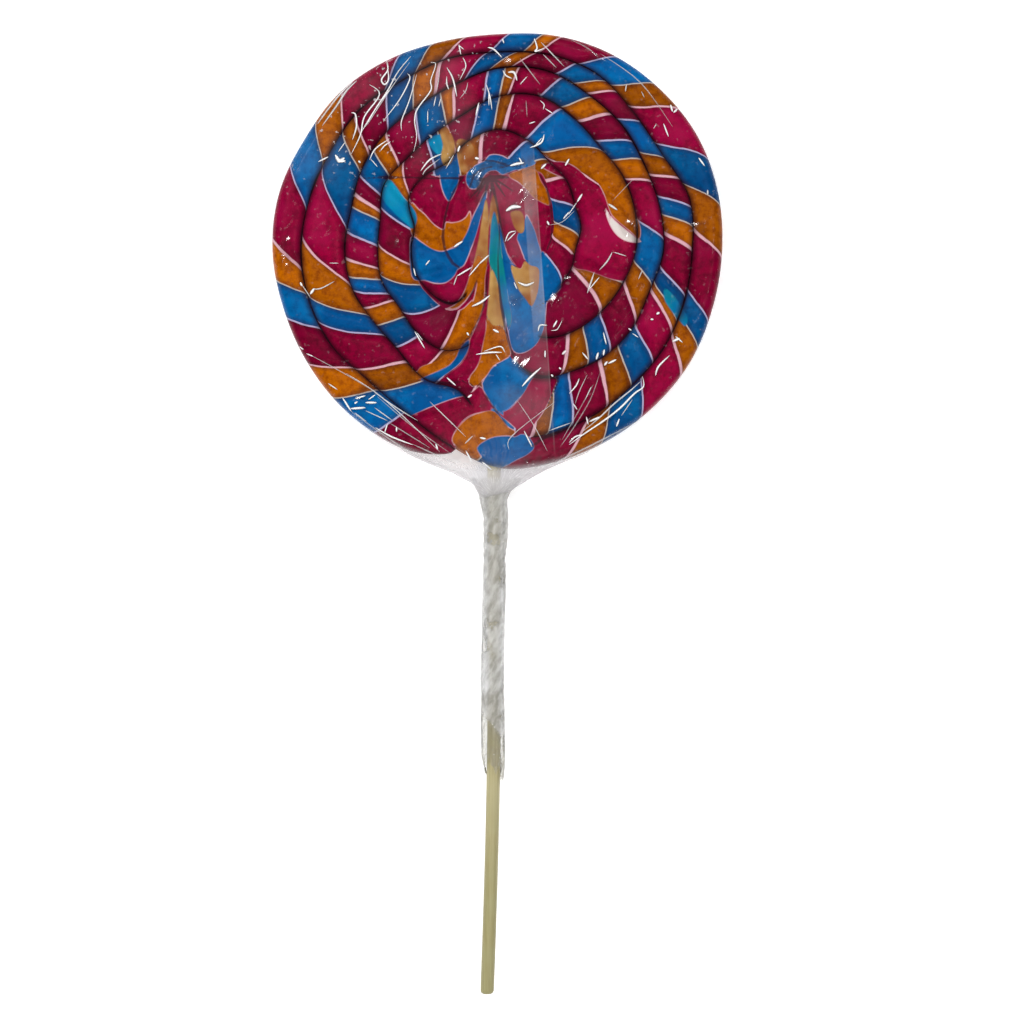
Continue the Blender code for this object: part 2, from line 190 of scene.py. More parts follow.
# The dragged strands, laid one over the other: the kind, then its outline. Places are on a drawing grid with
# x to the right and y down.
SQUARE = 0.3
GRID_MIDDLE = (498, 250)
KINDS = CRIMSON, BLUE, ORANGE, TAN, TEAL, PALE = range(6)
STRAND_AREAS = (
    (CRIMSON, ((412, 180), (440, 177), (470, 176), (490, 176), (490, 240), (490, 300), (474, 300), (462, 310),
               (447, 310), (430, 297), (417, 277), (412, 230))),
    (CRIMSON, ((489, 176), (512, 175), (536, 172), (545, 180), (550, 200), (552, 218), (551, 238), (546, 252),
               (541, 262), (525, 264), (508, 256), (499, 225), (492, 200))),
    (BLUE, ((411, 238), (425, 245), (433, 250), (441, 252), (449, 250), (457, 247), (463, 240), (467, 232),
            (470, 225), (474, 215), (478, 207), (484, 194), (487, 192), (486, 202), (483, 212), (480, 222),
            (477, 233), (474, 242), (471, 250), (468, 258), (464, 266), (458, 270), (455, 276), (450, 281),
            (444, 284), (435, 284), (425, 281), (412, 277))),
    (ORANGE, ((411, 204), (419, 210), (425, 215), (432, 223), (438, 228), (444, 230), (446, 223),
              (452, 223.5), (460, 222), (466, 218), (470, 212), (471, 221), (468, 231), (464, 239),
              (460, 244), (455, 247), (449, 250), (441, 252), (433, 250), (425, 245), (417, 239),
              (411, 232))),
    (BLUE, ((440, 160), (458, 160), (459, 178), (457, 188), (453, 197), (449, 202), (445, 197), (442, 189),
            (440, 178))),
    (TAN, ((486, 200), (482, 220), (479, 240), (476, 254), (474, 266), (480, 268), (487, 264), (488, 240),
           (489, 218))),
    (ORANGE, ((478, 256), (475, 262), (472, 268), (468, 282), (463, 295), (455, 305), (446, 310), (456, 309),
              (463, 304), (469, 297), (474, 289), (477, 283), (475, 295), (471, 309), (465, 325), (458, 337),
              (450, 345), (441, 350), (451, 350), (461, 346), (469, 338), (475, 328), (480, 317), (483, 305),
              (485, 292), (485, 280), (487, 264), (483, 260))),
    (ORANGE, ((420, 368), (436, 362), (446, 355), (454, 350), (459, 350), (457, 358), (450, 365), (441, 370),
              (430, 375), (416, 380))),
    (BLUE, ((469, 340), (469, 348), (465, 357), (459, 365), (450, 372), (441, 378), (432, 382), (420, 380),
            (432, 374), (442, 370), (450, 365), (456, 358), (459, 351), (463, 345))),
    (CRIMSON, ((489, 292), (489, 310), (488, 322), (486, 337), (483, 350), (480, 362), (477, 370), (471, 378),
               (463, 381), (453, 381), (439, 382), (450, 374), (460, 366), (466, 357), (469, 348), (470, 340),
               (474, 331), (479, 320), (484, 307))),
    (TAN, ((491, 262), (490, 276), (489, 290), (488, 305), (487, 320), (492, 330), (499, 334), (506, 334),
           (503, 318), (500, 300), (499, 285), (498, 268))),
    (ORANGE, ((487, 318), (486, 330), (484, 340), (482, 350), (480, 360), (476, 369), (470, 377), (469, 384),
              (474, 387), (480, 383), (487, 376), (492, 368), (497, 364), (503, 361), (511, 355), (509, 345),
              (506, 333), (501, 326), (493, 326))),
    (TAN, ((493, 196), (490, 208), (489, 222), (492, 226), (495, 216), (498, 224), (498, 208), (496, 198))),
    (BLUE, ((498, 222), (499, 245), (499, 262), (500, 285), (502, 302), (506, 322), (509, 338), (512, 350),
            (518, 354), (527, 352), (536, 345), (542, 334), (545, 322), (546, 310), (547, 303), (553, 297),
            (559, 291), (561, 286), (557, 274), (551, 263), (546, 257), (542, 252), (536, 262), (525, 268),
            (515, 266), (508, 256), (505, 246), (502, 232))),
    (BLUE, ((526, 216), (530, 221), (535, 232), (538, 243), (541, 252), (544, 260), (541, 268), (534, 268),
            (526, 262), (520, 250), (517, 240), (519, 233), (523, 230))),
    (TEAL, ((494, 212), (491, 225), (490, 240), (489, 255), (490, 266), (494, 272), (499, 286), (502, 300),
            (505, 316), (509, 330), (512, 318), (509, 300), (506, 282), (503, 262), (501, 245), (499, 230),
            (496, 216))),
    (TAN, ((511, 266), (516, 268), (521, 268), (525, 262), (530, 266), (538, 269), (539, 278), (538, 290),
           (535, 301), (531, 307), (526, 300), (519, 291), (515, 282), (512, 273))),
    (CRIMSON, ((505, 240), (509, 234), (515, 237), (519, 245), (522, 253), (524, 260), (521, 269), (516, 267),
               (511, 258), (508, 250))),
    (TAN, ((511, 213), (520, 212), (524, 219), (524, 231), (520, 234), (515, 229), (512, 221))),
    (ORANGE, ((509, 175), (517, 172), (526, 170), (536, 171), (541, 182), (546, 190), (549, 199), (549, 206),
              (541, 203), (533, 198), (526, 190), (518, 183), (511, 179))),
    (BLUE, ((466, 181), (468, 173), (476, 166), (484, 162), (490, 156), (500, 156), (509, 160), (518, 162),
            (530, 160), (536, 164), (526, 169), (516, 171), (507, 174), (502, 175), (496, 171), (489, 172),
            (483, 178), (478, 188), (472, 190), (468, 187))),
    (BLUE, ((493, 367), (500, 366), (508, 363), (514, 359), (520, 365), (528, 372), (535, 377), (530, 385),
            (524, 393), (518, 400), (512, 406), (505, 410), (499, 413), (491, 403), (486, 395), (482, 387),
            (483, 381), (487, 376))),
    (CRIMSON, ((480, 386), (486, 396), (492, 405), (498, 413), (508, 410), (516, 403), (524, 393), (534, 377),
               (545, 377), (557, 379), (553, 391), (549, 401), (544, 411), (537, 421), (528, 429), (518, 430),
               (508, 422), (499, 415), (488, 412), (470, 416), (459, 426), (452, 440), (456, 450), (440, 452),
               (420, 440), (400, 424), (420, 412), (450, 400), (470, 394))),
    (ORANGE, ((452, 440), (458, 428), (468, 418), (480, 413), (493, 411), (500, 417), (508, 427), (516, 432),
              (510, 437), (495, 439), (485, 442), (478, 449), (482, 456), (468, 458), (458, 448))),
    (BLUE, ((477, 448), (485, 441), (495, 437), (508, 436), (515, 437), (523, 434), (531, 440), (534, 448),
            (527, 455), (517, 460), (508, 465), (498, 469), (488, 463), (481, 456))),
    (CRIMSON, ((541, 167), (552, 163), (564, 163), (575, 168), (584, 176), (592, 186), (599, 197), (606, 209),
               (600, 214), (588, 202), (578, 190), (566, 180), (552, 174))),
    (CRIMSON, ((570, 255), (585, 258), (600, 262), (614, 267), (624, 272), (625, 281), (612, 280), (598, 275),
               (586, 271), (574, 268))),
    (ORANGE, ((588, 168), (598, 184), (604, 196), (608, 208), (612, 217), (622, 226), (633, 235), (639, 240),
              (640, 228), (634, 212), (626, 198), (614, 184), (602, 172))),
    (PALE, ((605, 210), (612, 219), (622, 228), (634, 237), (641, 242), (632, 243), (622, 240), (614, 233),
            (608, 222))),
    (TEAL, ((384, 182), (390, 180), (397, 188), (404, 198), (411, 206), (416, 214), (417, 222), (413, 229),
            (406, 224), (399, 218), (392, 211), (385, 203), (382, 194))),
    (TEAL, ((664, 289), (672, 295), (680, 306), (687, 318), (685, 327), (678, 320), (670, 310), (664, 300))),
    (TEAL, ((428, 141), (436, 136), (443, 136), (444, 146), (441, 157), (434, 152))),
    (TAN, ((440, 132), (446, 127), (452, 136), (455, 146), (454, 157), (450, 165), (444, 166), (441, 156),
           (443, 146))),
    (TAN, ((457, 142), (466, 141), (473, 147), (475, 158), (471, 169), (462, 173), (458, 160))),
)

# Where the drag melted the turns together and left no grooves
MELTED = ((462, 164), (450, 184), (440, 202), (434, 225), (436, 252), (445, 274), (462, 276), (464, 292),
          (465, 318), (467, 335), (468, 350), (471, 366), (478, 380), (474, 400), (450, 418), (446, 440),
          (462, 452), (490, 456), (524, 452), (536, 440), (530, 420), (530, 396), (534, 378), (521, 366),
          (528, 354), (540, 342), (545, 325), (547, 308), (558, 294), (566, 274), (562, 250), (562, 220),
          (558, 195), (548, 172), (530, 160), (505, 153), (480, 155))
MELTED_EDGE = 1.5
MELTED_DROP = 0.5
MELTED_DEPTH = 3.8
RIDGE_EDGE = 1.0
RIDGE_LIFT = 0.35
KNOB_HEIGHT = 1.5
KNOBS_PER_MM = 0.55
RIDGE = ((462, 184), (464, 172), (472, 163), (484, 157), (500, 152), (520, 156), (540, 160), (530, 172),
         (512, 178), (500, 179), (488, 178), (480, 190), (470, 194))

# Creases that the drag left, on the same grid: places with half-widths
CREASES = (
    ((463, 178, 0.8), (455, 190, 0.7), (449, 203, 0.7), (446, 214, 0.8), (444, 226, 0.9), (443, 238, 1.2),
     (445, 250, 1.0), (449, 258, 1.2), (453, 264, 1.2), (459, 268, 0.8)),
    ((500, 222, 0.5), (499, 245, 0.6), (498, 265, 0.5), (499, 285, 0.8), (501, 305, 1.0), (504, 322, 1.0),
     (508, 340, 1.1), (512, 353, 0.9), (516, 362, 0.8), (524, 369, 0.8), (533, 375, 0.8), (545, 377, 1.0),
     (557, 378, 1.5)), ((492, 184, 1.6), (496, 200, 0.9), (499, 215, 0.9), (502, 232, 0.8), (506, 248, 0.4)),
    ((488, 180, 1.8), (486, 192, 1.0), (480, 203, 0.4)), ((484, 184, 0.8), (477, 197, 0.3)),
    ((488, 270, 0.3), (487, 284, 1.0), (486, 298, 0.9), (483, 310, 0.7), (477, 324, 0.7), (470, 337, 0.7),
     (462, 345, 0.5)), ((477, 281, 0.5), (473, 292, 0.8), (467, 302, 0.5)),
    ((540, 176, 0.7), (546, 187, 0.8), (549, 198, 0.9), (551, 210, 0.7), (552, 225, 0.4), (551, 240, 0.7),
     (547, 250, 0.6)), ((562, 286, 0.8), (556, 294, 0.8), (550, 300, 0.8), (541, 305, 0.5), (533, 308, 0.3)),
    ((362, 179, 0.3), (400, 178, 0.5), (430, 179, 0.5), (462, 179, 0.9)),
    ((379, 178, 0.8), (388, 178, 1.7), (398, 178, 0.9)),
    ((478, 189, 1.2), (484, 182, 1.8), (490, 178, 2.6), (500, 177, 1.6), (508, 178, 0.6)),
    ((481, 180, 1.6), (489, 180, 2.4), (497, 181, 1.2)),
    ((470, 188, 0.6), (474, 176, 0.7), (482, 170, 0.6), (492, 167, 0.5)),
    ((500, 168, 0.5), (512, 166, 0.7), (524, 164, 0.4)), ((482, 161, 0.4), (494, 162, 0.7), (506, 165, 0.5)),
    ((492, 184, 0.9), (490, 200, 0.3)), ((496, 183, 0.9), (505, 197, 0.3)),
    ((498, 181, 0.8), (513, 192, 0.3)), ((482, 186, 0.7), (470, 199, 0.2)),
    ((437, 382, 0.8), (452, 384, 0.9), (463, 381, 0.8), (473, 386, 0.9), (479, 388, 0.7), (486, 396, 0.8),
     (492, 405, 0.9), (498, 414, 1.0), (508, 427, 0.4)),
    ((533, 446, 1.0), (543, 438, 1.5), (556, 433, 1.5), (571, 426, 1.2)),
    ((558, 380, 1.4), (553, 392, 1.0), (548, 404, 0.6)),
)
CREASE_CUT = 0.7
CREASE_SPREAD = 0.8
FACE_FROM = 5.0
FAR_OUTSIDE = -5.0
OUTLINE_MARGIN = 2.0


def from_grid(places):
    """Places on the drawing grid, in millimetres from the coil's middle."""
    return np.array([((x - GRID_MIDDLE[0]) * SQUARE, (GRID_MIDDLE[1] - y) * SQUARE) for x, y in places])


CREASES = tuple([(*from_grid([(x, y)])[0], half * SQUARE) for x, y, half in crease] for crease in CREASES)


def area_depth(outline, x, y):
    """How far inside a smooth closed outline each place is, negative outside."""
    places = from_grid(outline)
    before, after, last = np.roll(places, 1, 0), np.roll(places, -1, 0), np.roll(places, -2, 0)
    smooth = []
    for share in (0.0, 0.25, 0.5, 0.75):
        slope_in, slope_out = (after - before) / 2, (last - places) / 2
        step = after - places
        smooth.append(places + share * (slope_in + share * (3 * step - 2 * slope_in - slope_out
                                                            + share * (slope_in + slope_out - 2 * step))))
    rim = np.stack(smooth, 1).reshape(-1, 2)
    depth = np.full(len(x), FAR_OUTSIDE)
    lowest, highest = rim.min(0) - OUTLINE_MARGIN, rim.max(0) + OUTLINE_MARGIN
    near = (x > lowest[0]) & (x < highest[0]) & (y > lowest[1]) & (y < highest[1])
    px, py = x[near], y[near]
    gap = np.full(len(px), 1e6)
    inside = np.zeros(len(px), bool)
    for (ax, ay), (bx, by) in zip(rim, np.roll(rim, -1, 0)):
        length = max((bx - ax) ** 2 + (by - ay) ** 2, 1e-12)
        t = np.clip(((px - ax) * (bx - ax) + (py - ay) * (by - ay)) / length, 0.0, 1.0)
        gap = np.minimum(gap, (px - ax - t * (bx - ax)) ** 2 + (py - ay - t * (by - ay)) ** 2)
        if ay != by:
            crosses = (ay > py) != (by > py)
            inside ^= crosses & (px < ax + (py - ay) / (by - ay) * (bx - ax))
    depth[near] = np.where(inside, 1.0, -1.0) * np.sqrt(gap)
    return depth


def relief(x, y):
    """How far the drag, its creases and the pinch lower the face."""
    lowered = PINCH_DEPTH * np.exp(-(((x - STICK_X) ** 2 + (y - PINCH_Y) ** 2) / PINCH_RADIUS**2))
    in_mark = np.sin(np.pi * np.clip((y - MARK_END_Y) / (PINCH_Y - MARK_END_Y), 0.0, 1.0)) ** 2
    lowered += MARK_DEPTH * np.exp(-(((x - MARK_X) / MARK_WIDTH) ** 2)) * in_mark
    for points in CREASES:
        away = np.clip(-stroke_depth(points, x, y), 0.0, 9.0)
        lowered += CREASE_CUT * np.exp(-(away**2) / CREASE_SPREAD)
    return lowered


def melted_share(x, y):
    """How far the turns have melted together at each place, from 0 to 1."""
    share = np.clip(area_depth(MELTED, x, y) / MELTED_EDGE, 0.0, 1.0)
    return share * share * (3.0 - 2.0 * share)


def melted_height(x, y):
    """The face where it has melted. It still covers the stick."""
    height = HEAD_THICKNESS - MELTED_DROP - relief(x, y) + crumple(x, y)
    return np.maximum(height, HEAD_THICKNESS - MELTED_DEPTH)


def crumple(x, y):
    """The knobbly ridge of candy that was pushed up beyond the pinch."""
    share = np.clip(area_depth(RIDGE, x, y) / RIDGE_EDGE, 0.0, 1.0)
    knobs = np.zeros(len(x))
    for i in np.flatnonzero(share):
        knobs[i] = noise.noise(Vector((x[i] * KNOBS_PER_MM, y[i] * KNOBS_PER_MM, 3.0)))
        knobs[i] += 0.6 * noise.noise(Vector((x[i], y[i], 7.0)))
    return share * (RIDGE_LIFT + KNOB_HEIGHT * knobs)


def crown(station, low, high):
    """The rope's rounded top, from -1 at its outer edge to 1 at its inner edge."""
    fall = (1.0 - np.abs(station) ** CROWN_POWER) ** (1.0 / CROWN_POWER)
    return low + (high - low) * fall


STRAIGHT_LEAN = 0.45
FIRST_STRAND_SPAN = 20.0


def change_places(share):
    """Where along the rope each strand gives way to the next, at a share of the way across the rope."""
    changes = np.array([(360.0 * turn + outer, 360.0 * turn + inner)
                        for turn, row in enumerate(STRAND_CHANGES) for outer, inner in row])
    lean = STRAIGHT_LEAN * share + (1.0 - STRAIGHT_LEAN) * np.arccos(1.0 - 2.0 * share) / np.pi
    places = changes[:, 0] + (changes[:, 1] - changes[:, 0]) * lean
    return np.maximum.accumulate(places + np.arange(len(places)) * 1e-4)


def strand_phase(angle, places):
    """Which strand lies at an angle along the rope: whole numbers are the changes."""
    phase = np.interp(angle, places, np.arange(len(places)) + 1.0)
    return np.where(angle < places[0], 1.0 - (places[0] - angle) / FIRST_STRAND_SPAN, phase)


# Cuts across the rope, closer together near the grooves on top
CROWDING = 0.45
STATIONS = -np.cos(np.linspace(0.0, np.pi, TOP_CUTS + 1))
STATIONS = CROWDING * STATIONS + (1.0 - CROWDING) * np.linspace(-1.0, 1.0, TOP_CUTS + 1)
UNDER_STATIONS = np.linspace(-1.0, 1.0, UNDER_CUTS + 1)
LAST = FULL_TURNS * STEPS_PER_TURN
# The coil's middle is all one crimson strand: its change, and how far it is from that and from a groove
NO_GROOVE = 20.0
CENTRE_MEASURE = (1.0, -9.0, NO_GROOVE)


def under_height(station, low):
    """A flat underside, rounded up to the edge height near each edge."""
    near = np.clip((np.abs(station) - UNDER_FLAT) / (1.0 - UNDER_FLAT), 0.0, 1.0)
    return UNDER_LIFT + (low - UNDER_LIFT) * (1.0 - np.sqrt(np.clip(1.0 - near * near, 0.0, 1.0)))


class CoilMesh:
    """Collects points, and faces with the measures at each corner."""

    def __init__(self):
        self.points = []
        self.faces = []
        self.corners = []

    def add(self, x, y, z):
        self.points.append((x, y, z))
        return len(self.points) - 1

    def face(self, corners, values):
        """Adds a face, without corners that meet, and what is measured at each corner."""
        kept = [i for i in range(len(corners)) if corners[i] != corners[i - 1]]
        if len(kept) > 2:
            self.faces.append([corners[i] for i in kept])
            self.corners.extend(values[i] for i in kept)


def build_coil():
    """The rope's top and underside, turn after turn, sewn to the turn outside it, and the coil's middle."""
    coil = CoilMesh()
    steps = np.arange(LAST + 1)
    angles = ROPE_START + steps * 360.0 / STEPS_PER_TURN
    outer, inner = outer_radius(angles), edge_radius(angles)
    free = steps <= STEPS_PER_TURN
    rise = grown(angles)
    groove = HEAD_THICKNESS - TOP_GROOVE_DEPTH

    def side_rows(stations, is_top):
        """The points of one side: a row across the rope at each step along it."""
        rows = []
        grid = []
        for station in stations:
            radius = outer + (inner - outer) * (station + 1.0) / 2.0
            x, y = plan_point(angles, radius)
            smooth = melted_share(x, y)
            if is_top:
                high = RIM_HEIGHT + (HEAD_THICKNESS - RIM_HEIGHT) * rise
                low = np.where(free & (station < 0), RIM_HEIGHT, groove)
                changes = change_places((station + 1.0) / 2.0)
                nearest = np.clip(np.round(strand_phase(angles, changes)).astype(int), 1, len(changes)) - 1
                from_change = np.abs(angles - changes[nearest]) * radius * ACROSS_CHANGE
                z = crown(station, low, high) - relief(x, y)
                sunk = np.exp(-((from_change / STRAND_CREASE_WIDTH) ** 2))
                z -= STRAND_CREASE * sunk * (1.0 - abs(station) ** 4)
                z = np.maximum(z, groove)
                z = np.where(free & (station < 0), crown(station, RIM_HEIGHT, high), z)
                z = z if station < 1.0 else np.full_like(x, groove)
                z = np.where(smooth > 0.0, z + smooth * (melted_height(x, y) - z), z)
            else:
                low = np.where(free & (station < 0), RIM_HEIGHT, UNDER_GROOVE_DEPTH)
                z = under_height(station, low) + RIM_HEIGHT * (1.0 - rise) * (abs(station) < 1.0)
                z = z if station < 1.0 else np.full_like(x, UNDER_GROOVE_DEPTH)
            grid.append(np.stack([x, y, z], 1))
        grid = np.stack(grid, 1)
        for i in steps:
            rows.append([start] * len(stations) if i == 0 else [None] + [coil.add(*p) for p in grid[i, 1:]])
        return rows

    x, y = plan_point(angles[:1], outer[:1])
    start = coil.add(x[0], y[0], RIM_HEIGHT)
    top = side_rows(STATIONS, True)
    under = side_rows(UNDER_STATIONS, False)
    x, y = plan_point(angles, outer)
    for i in range(1, LAST + 1):
        if i < STEPS_PER_TURN:
            top[i][0] = under[i][0] = coil.add(x[i], y[i], RIM_HEIGHT)
        else:
            top[i][0] = top[i - STEPS_PER_TURN][-1]
            under[i][0] = under[i - STEPS_PER_TURN][-1]

    reach = np.abs(outer - inner)
    for rows, stations in ((top, STATIONS), (under, UNDER_STATIONS)):
        phases, gaps, grooves = [], [], []
        for station in stations:
            changes = change_places((station + 1.0) / 2.0)
            radius = outer + (inner - outer) * (station + 1.0) / 2.0
            phases.append(strand_phase(angles, changes))
            gaps.append((angles[:, None] - changes) * radius[:, None] * ACROSS_CHANGE)
            from_groove = (1.0 - abs(station)) * reach / 2.0
            grooves.append(np.where(free, NO_GROOVE, from_groove) if station < 0 else from_groove)
        for i in range(LAST):
            for j in range(len(stations) - 1):
                corners = ((j, i), (j + 1, i), (j + 1, i + 1), (j, i + 1))
                change = round(sum(phases[s][step] for s, step in corners) / 4.0)
                change = min(max(change, 1), gaps[0].shape[1])
                coil.face([rows[step][s] for s, step in corners],
                          [(change, gaps[s][step, change - 1], grooves[s][step]) for s, step in corners])

    for rows, is_top in ((top, True), (under, False)):
        inner_edge = [row[-1] for row in rows[-STEPS_PER_TURN - 1:]]
        loop = inner_edge[1:] + rows[-1][-2:0:-1]
        if rows[-1][0] != loop[-1]:
            loop.append(rows[-1][0])
        if loop[-1] == loop[0]:
            loop.pop()
        loop_angles = np.append(angles[-STEPS_PER_TURN:], np.full(len(loop) - STEPS_PER_TURN, angles[-1]))
        across = np.array(STATIONS if is_top else UNDER_STATIONS)[-2::-1][:len(loop) - STEPS_PER_TURN]
        last_radii = outer[-1] + (inner[-1] - outer[-1]) * (across + 1.0) / 2.0
        loop_radii = np.append(inner[-STEPS_PER_TURN:], last_radii)
        ring_before = loop
        centre_cuts = CENTRE_CUTS if is_top else UNDER_CENTRE_CUTS
        for cut in range(1, centre_cuts):
            share = 1.0 - cut / centre_cuts
            x, y = plan_point(loop_angles, loop_radii * share)
            if is_top:
                height = crown(share, groove, HEAD_THICKNESS) - relief(x, y)
                height = np.maximum(height, groove)
                smooth = melted_share(x, y)
                height = height + smooth * (melted_height(x, y) - height)
            else:
                height = under_height(share, UNDER_GROOVE_DEPTH) + 0.0 * x
            ring = [coil.add(*p) for p in zip(x, y, height)]
            for i in range(len(loop)):
                coil.face((ring_before[i - 1], ring_before[i], ring[i], ring[i - 1]), [CENTRE_MEASURE] * 4)
            ring_before = ring
        x, y = plan_point(0.0, 0.0)
        height = melted_height(np.array([x]), np.array([y]))[0] if is_top else UNDER_LIFT
        middle = coil.add(x, y, height)
        for i in range(len(ring_before)):
            coil.face((ring_before[i - 1], ring_before[i], middle), [CENTRE_MEASURE] * 3)
    return coil


def mesh_object(name, points, faces):
    """A smooth-shaded mesh from points in millimetres, with its faces turned outwards."""
    mesh = bpy.data.meshes.new(name)
    mesh.from_pydata([(x * MM, y * MM, z * MM) for x, y, z in points], [], faces)
    mesh.validate()
    made = bpy.data.objects.new(name, mesh)
    bpy.context.scene.collection.objects.link(made)
    mesh.shade_smooth()
    return made


def turn_outwards(made):
    """Turns every face of a closed mesh to the outside."""
    bm = bmesh.new()
    bm.from_mesh(made.data)
    bmesh.ops.recalc_face_normals(bm, faces=bm.faces)
    bm.to_mesh(made.data)
    bm.free()


def add_measure(made, name, values, domain="POINT"):
    """Stores a measure, or three together, for a material to read."""
    values = np.asarray(values, np.float32)
    several = values.ndim > 1
    layer = made.data.attributes.new(name, "FLOAT_VECTOR" if several else "FLOAT", domain)
    layer.data.foreach_set("vector" if several else "value", values.ravel())


coil_data = build_coil()
candy = mesh_object("candy_coil", coil_data.points, coil_data.faces)
corner_values = np.array(coil_data.corners)
for column, name in enumerate(("change", "from_change", "from_groove")):
    add_measure(candy, name, corner_values[:, column], "CORNER")
turn_outwards(candy)

places = np.zeros(len(candy.data.vertices) * 3)
candy.data.vertices.foreach_get("co", places)
places = places.reshape(-1, 3) / MM
x, y, z = places.T
on_face = z > FACE_FROM
# How far inside each kind of dragged strand each point is: a later area covers the earlier ones
inside = [np.full(len(places), FAR_OUTSIDE) for _ in KINDS]
for strand, outline in STRAND_AREAS:
    depth = np.where(on_face, area_depth(outline, x, y), FAR_OUTSIDE)
    for other in KINDS:
        own = other == strand
        inside[other] = np.maximum(inside[other], depth) if own else np.minimum(inside[other], -depth)
inside = np.clip(np.stack(inside, 1), FAR_OUTSIDE, -FAR_OUTSIDE)
add_measure(candy, "streak", inside[:, :3])
add_measure(candy, "mixed_streak", inside[:, 3:])
add_measure(candy, "melted", np.where(on_face, melted_share(x, y), 0.0))
crease_depth = np.max([stroke_depth(points, x, y) for points in CREASES], axis=0)
crease_depth = np.clip(crease_depth, FAR_OUTSIDE, -FAR_OUTSIDE)
add_measure(candy, "crease", np.where(on_face, crease_depth, FAR_OUTSIDE))


class Nodes:
    """Short calls that add and link a material's nodes."""

    def __init__(self, name):
        self.material = bpy.data.materials.new(name)
        self.material.use_nodes = True
        self.tree = self.material.node_tree
        self.tree.nodes.clear()
        self.out = self.tree.nodes.new("ShaderNodeOutputMaterial")

    def put(self, value, socket):
        """Links a socket, or sets it to a number or colour."""
        if isinstance(value, bpy.types.NodeSocket):
            self.tree.links.new(value, socket)
        else:
            socket.default_value = value

    def node(self, kind, settings=None, output=0, **inputs):
        made = self.tree.nodes.new(kind)
        for key, value in (settings or {}).items():
            setattr(made, key, value)
        for key, value in inputs.items():
            by_number = key[0] == "i" and key[1:].isdigit()
            self.put(value, made.inputs[int(key[1:]) if by_number else key.replace("_", " ")])
        return made.outputs[output]

    def math(self, operation, *values, clamp=False):
        inputs = {f"i{n}": value for n, value in enumerate(values)}
        return self.node("ShaderNodeMath", {"operation": operation, "use_clamp": clamp}, **inputs)

    def times(self, first, second, clamp=False):
        return self.math("MULTIPLY", first, second, clamp=clamp)

    def plus(self, first, second, clamp=False):
        return self.math("ADD", first, second, clamp=clamp)

    def minus(self, first, second):
        return self.math("SUBTRACT", first, second)

    def fade(self, value, low, high, to_low=0.0, to_high=1.0):
        """A smooth step of a value between two limits."""
        return self.node("ShaderNodeMapRange", {"interpolation_type": "SMOOTHSTEP"},
                         i0=value, i1=low, i2=high, i3=to_low, i4=to_high)

    def blend(self, share, first, second, how="MIX"):
        """One colour laid over another."""
        made = self.tree.nodes.new("ShaderNodeMix")
        made.data_type = "RGBA"
        made.blend_type = how
        self.put(share, made.inputs[0])
        self.put((*first, 1.0) if isinstance(first, tuple) else first, made.inputs[6])
        self.put((*second, 1.0) if isinstance(second, tuple) else second, made.inputs[7])
        return made.outputs[2]

    def attribute(self, name, output="Fac"):
        made = self.tree.nodes.new("ShaderNodeAttribute")
        made.attribute_name = name
        return made.outputs[output]

    def object_place(self):
        return self.node("ShaderNodeTexCoord", output="Object")

    def place_parts(self):
        """The place on the piece as x, y and z, in metres."""
        return self.node("ShaderNodeSeparateXYZ", Vector=self.object_place()).node.outputs

    def stretched(self, scale, angle=0.0, place=(0.0, 0.0, 0.0)):
        """The place on the piece, turned by degrees and scaled, for a pattern with a direction."""
        return self.node("ShaderNodeMapping", {"vector_type": "TEXTURE"}, Vector=self.object_place(),
                         Location=place, Rotation=(0.0, 0.0, math.radians(angle)), Scale=scale)

    def noise(self, scale, detail=3.0, roughness=0.55, vector=None):
        return self.node("ShaderNodeTexNoise", Vector=vector or self.object_place(), Scale=scale,
                         Detail=detail, Roughness=roughness)

    def finish(self, shader):
        """Ends the material with its shader."""
        self.tree.links.new(shader, self.out.inputs["Surface"])
        return self.material


CRIMSON_COLOUR = (0.22, 0.0, 0.026)
CRIMSON_DARK = (0.12, 0.0, 0.015)
CRIMSON_CLOUD = (0.25, 0.002, 0.04)
BLUE_COLOUR = (0.0, 0.070, 0.235)
BLUE_LIGHT = (0.0, 0.115, 0.32)
BLUE_DARK = (0.0, 0.042, 0.155)
ORANGE_COLOUR = (0.36, 0.090, 0.0)
ORANGE_DARK = (0.215, 0.044, 0.0)
ROSE_WHITE = (0.62, 0.36, 0.42)
LILAC_WHITE = (0.45, 0.42, 0.62)
STRAW_WHITE = (0.52, 0.46, 0.40)
TAN_COLOUR = (0.44, 0.255, 0.08)
TEAL_COLOUR = (0.005, 0.19, 0.20)
CYAN_COLOUR = (0.002, 0.22, 0.38)
PALE_COLOUR = (0.62, 0.55, 0.52)
# Painted shade: the dark colour laid in and beside the grooves, along the drag creases and beside the strand
# changes
GROOVE_SHADE_COLOUR = (0.020, 0.004, 0.010)


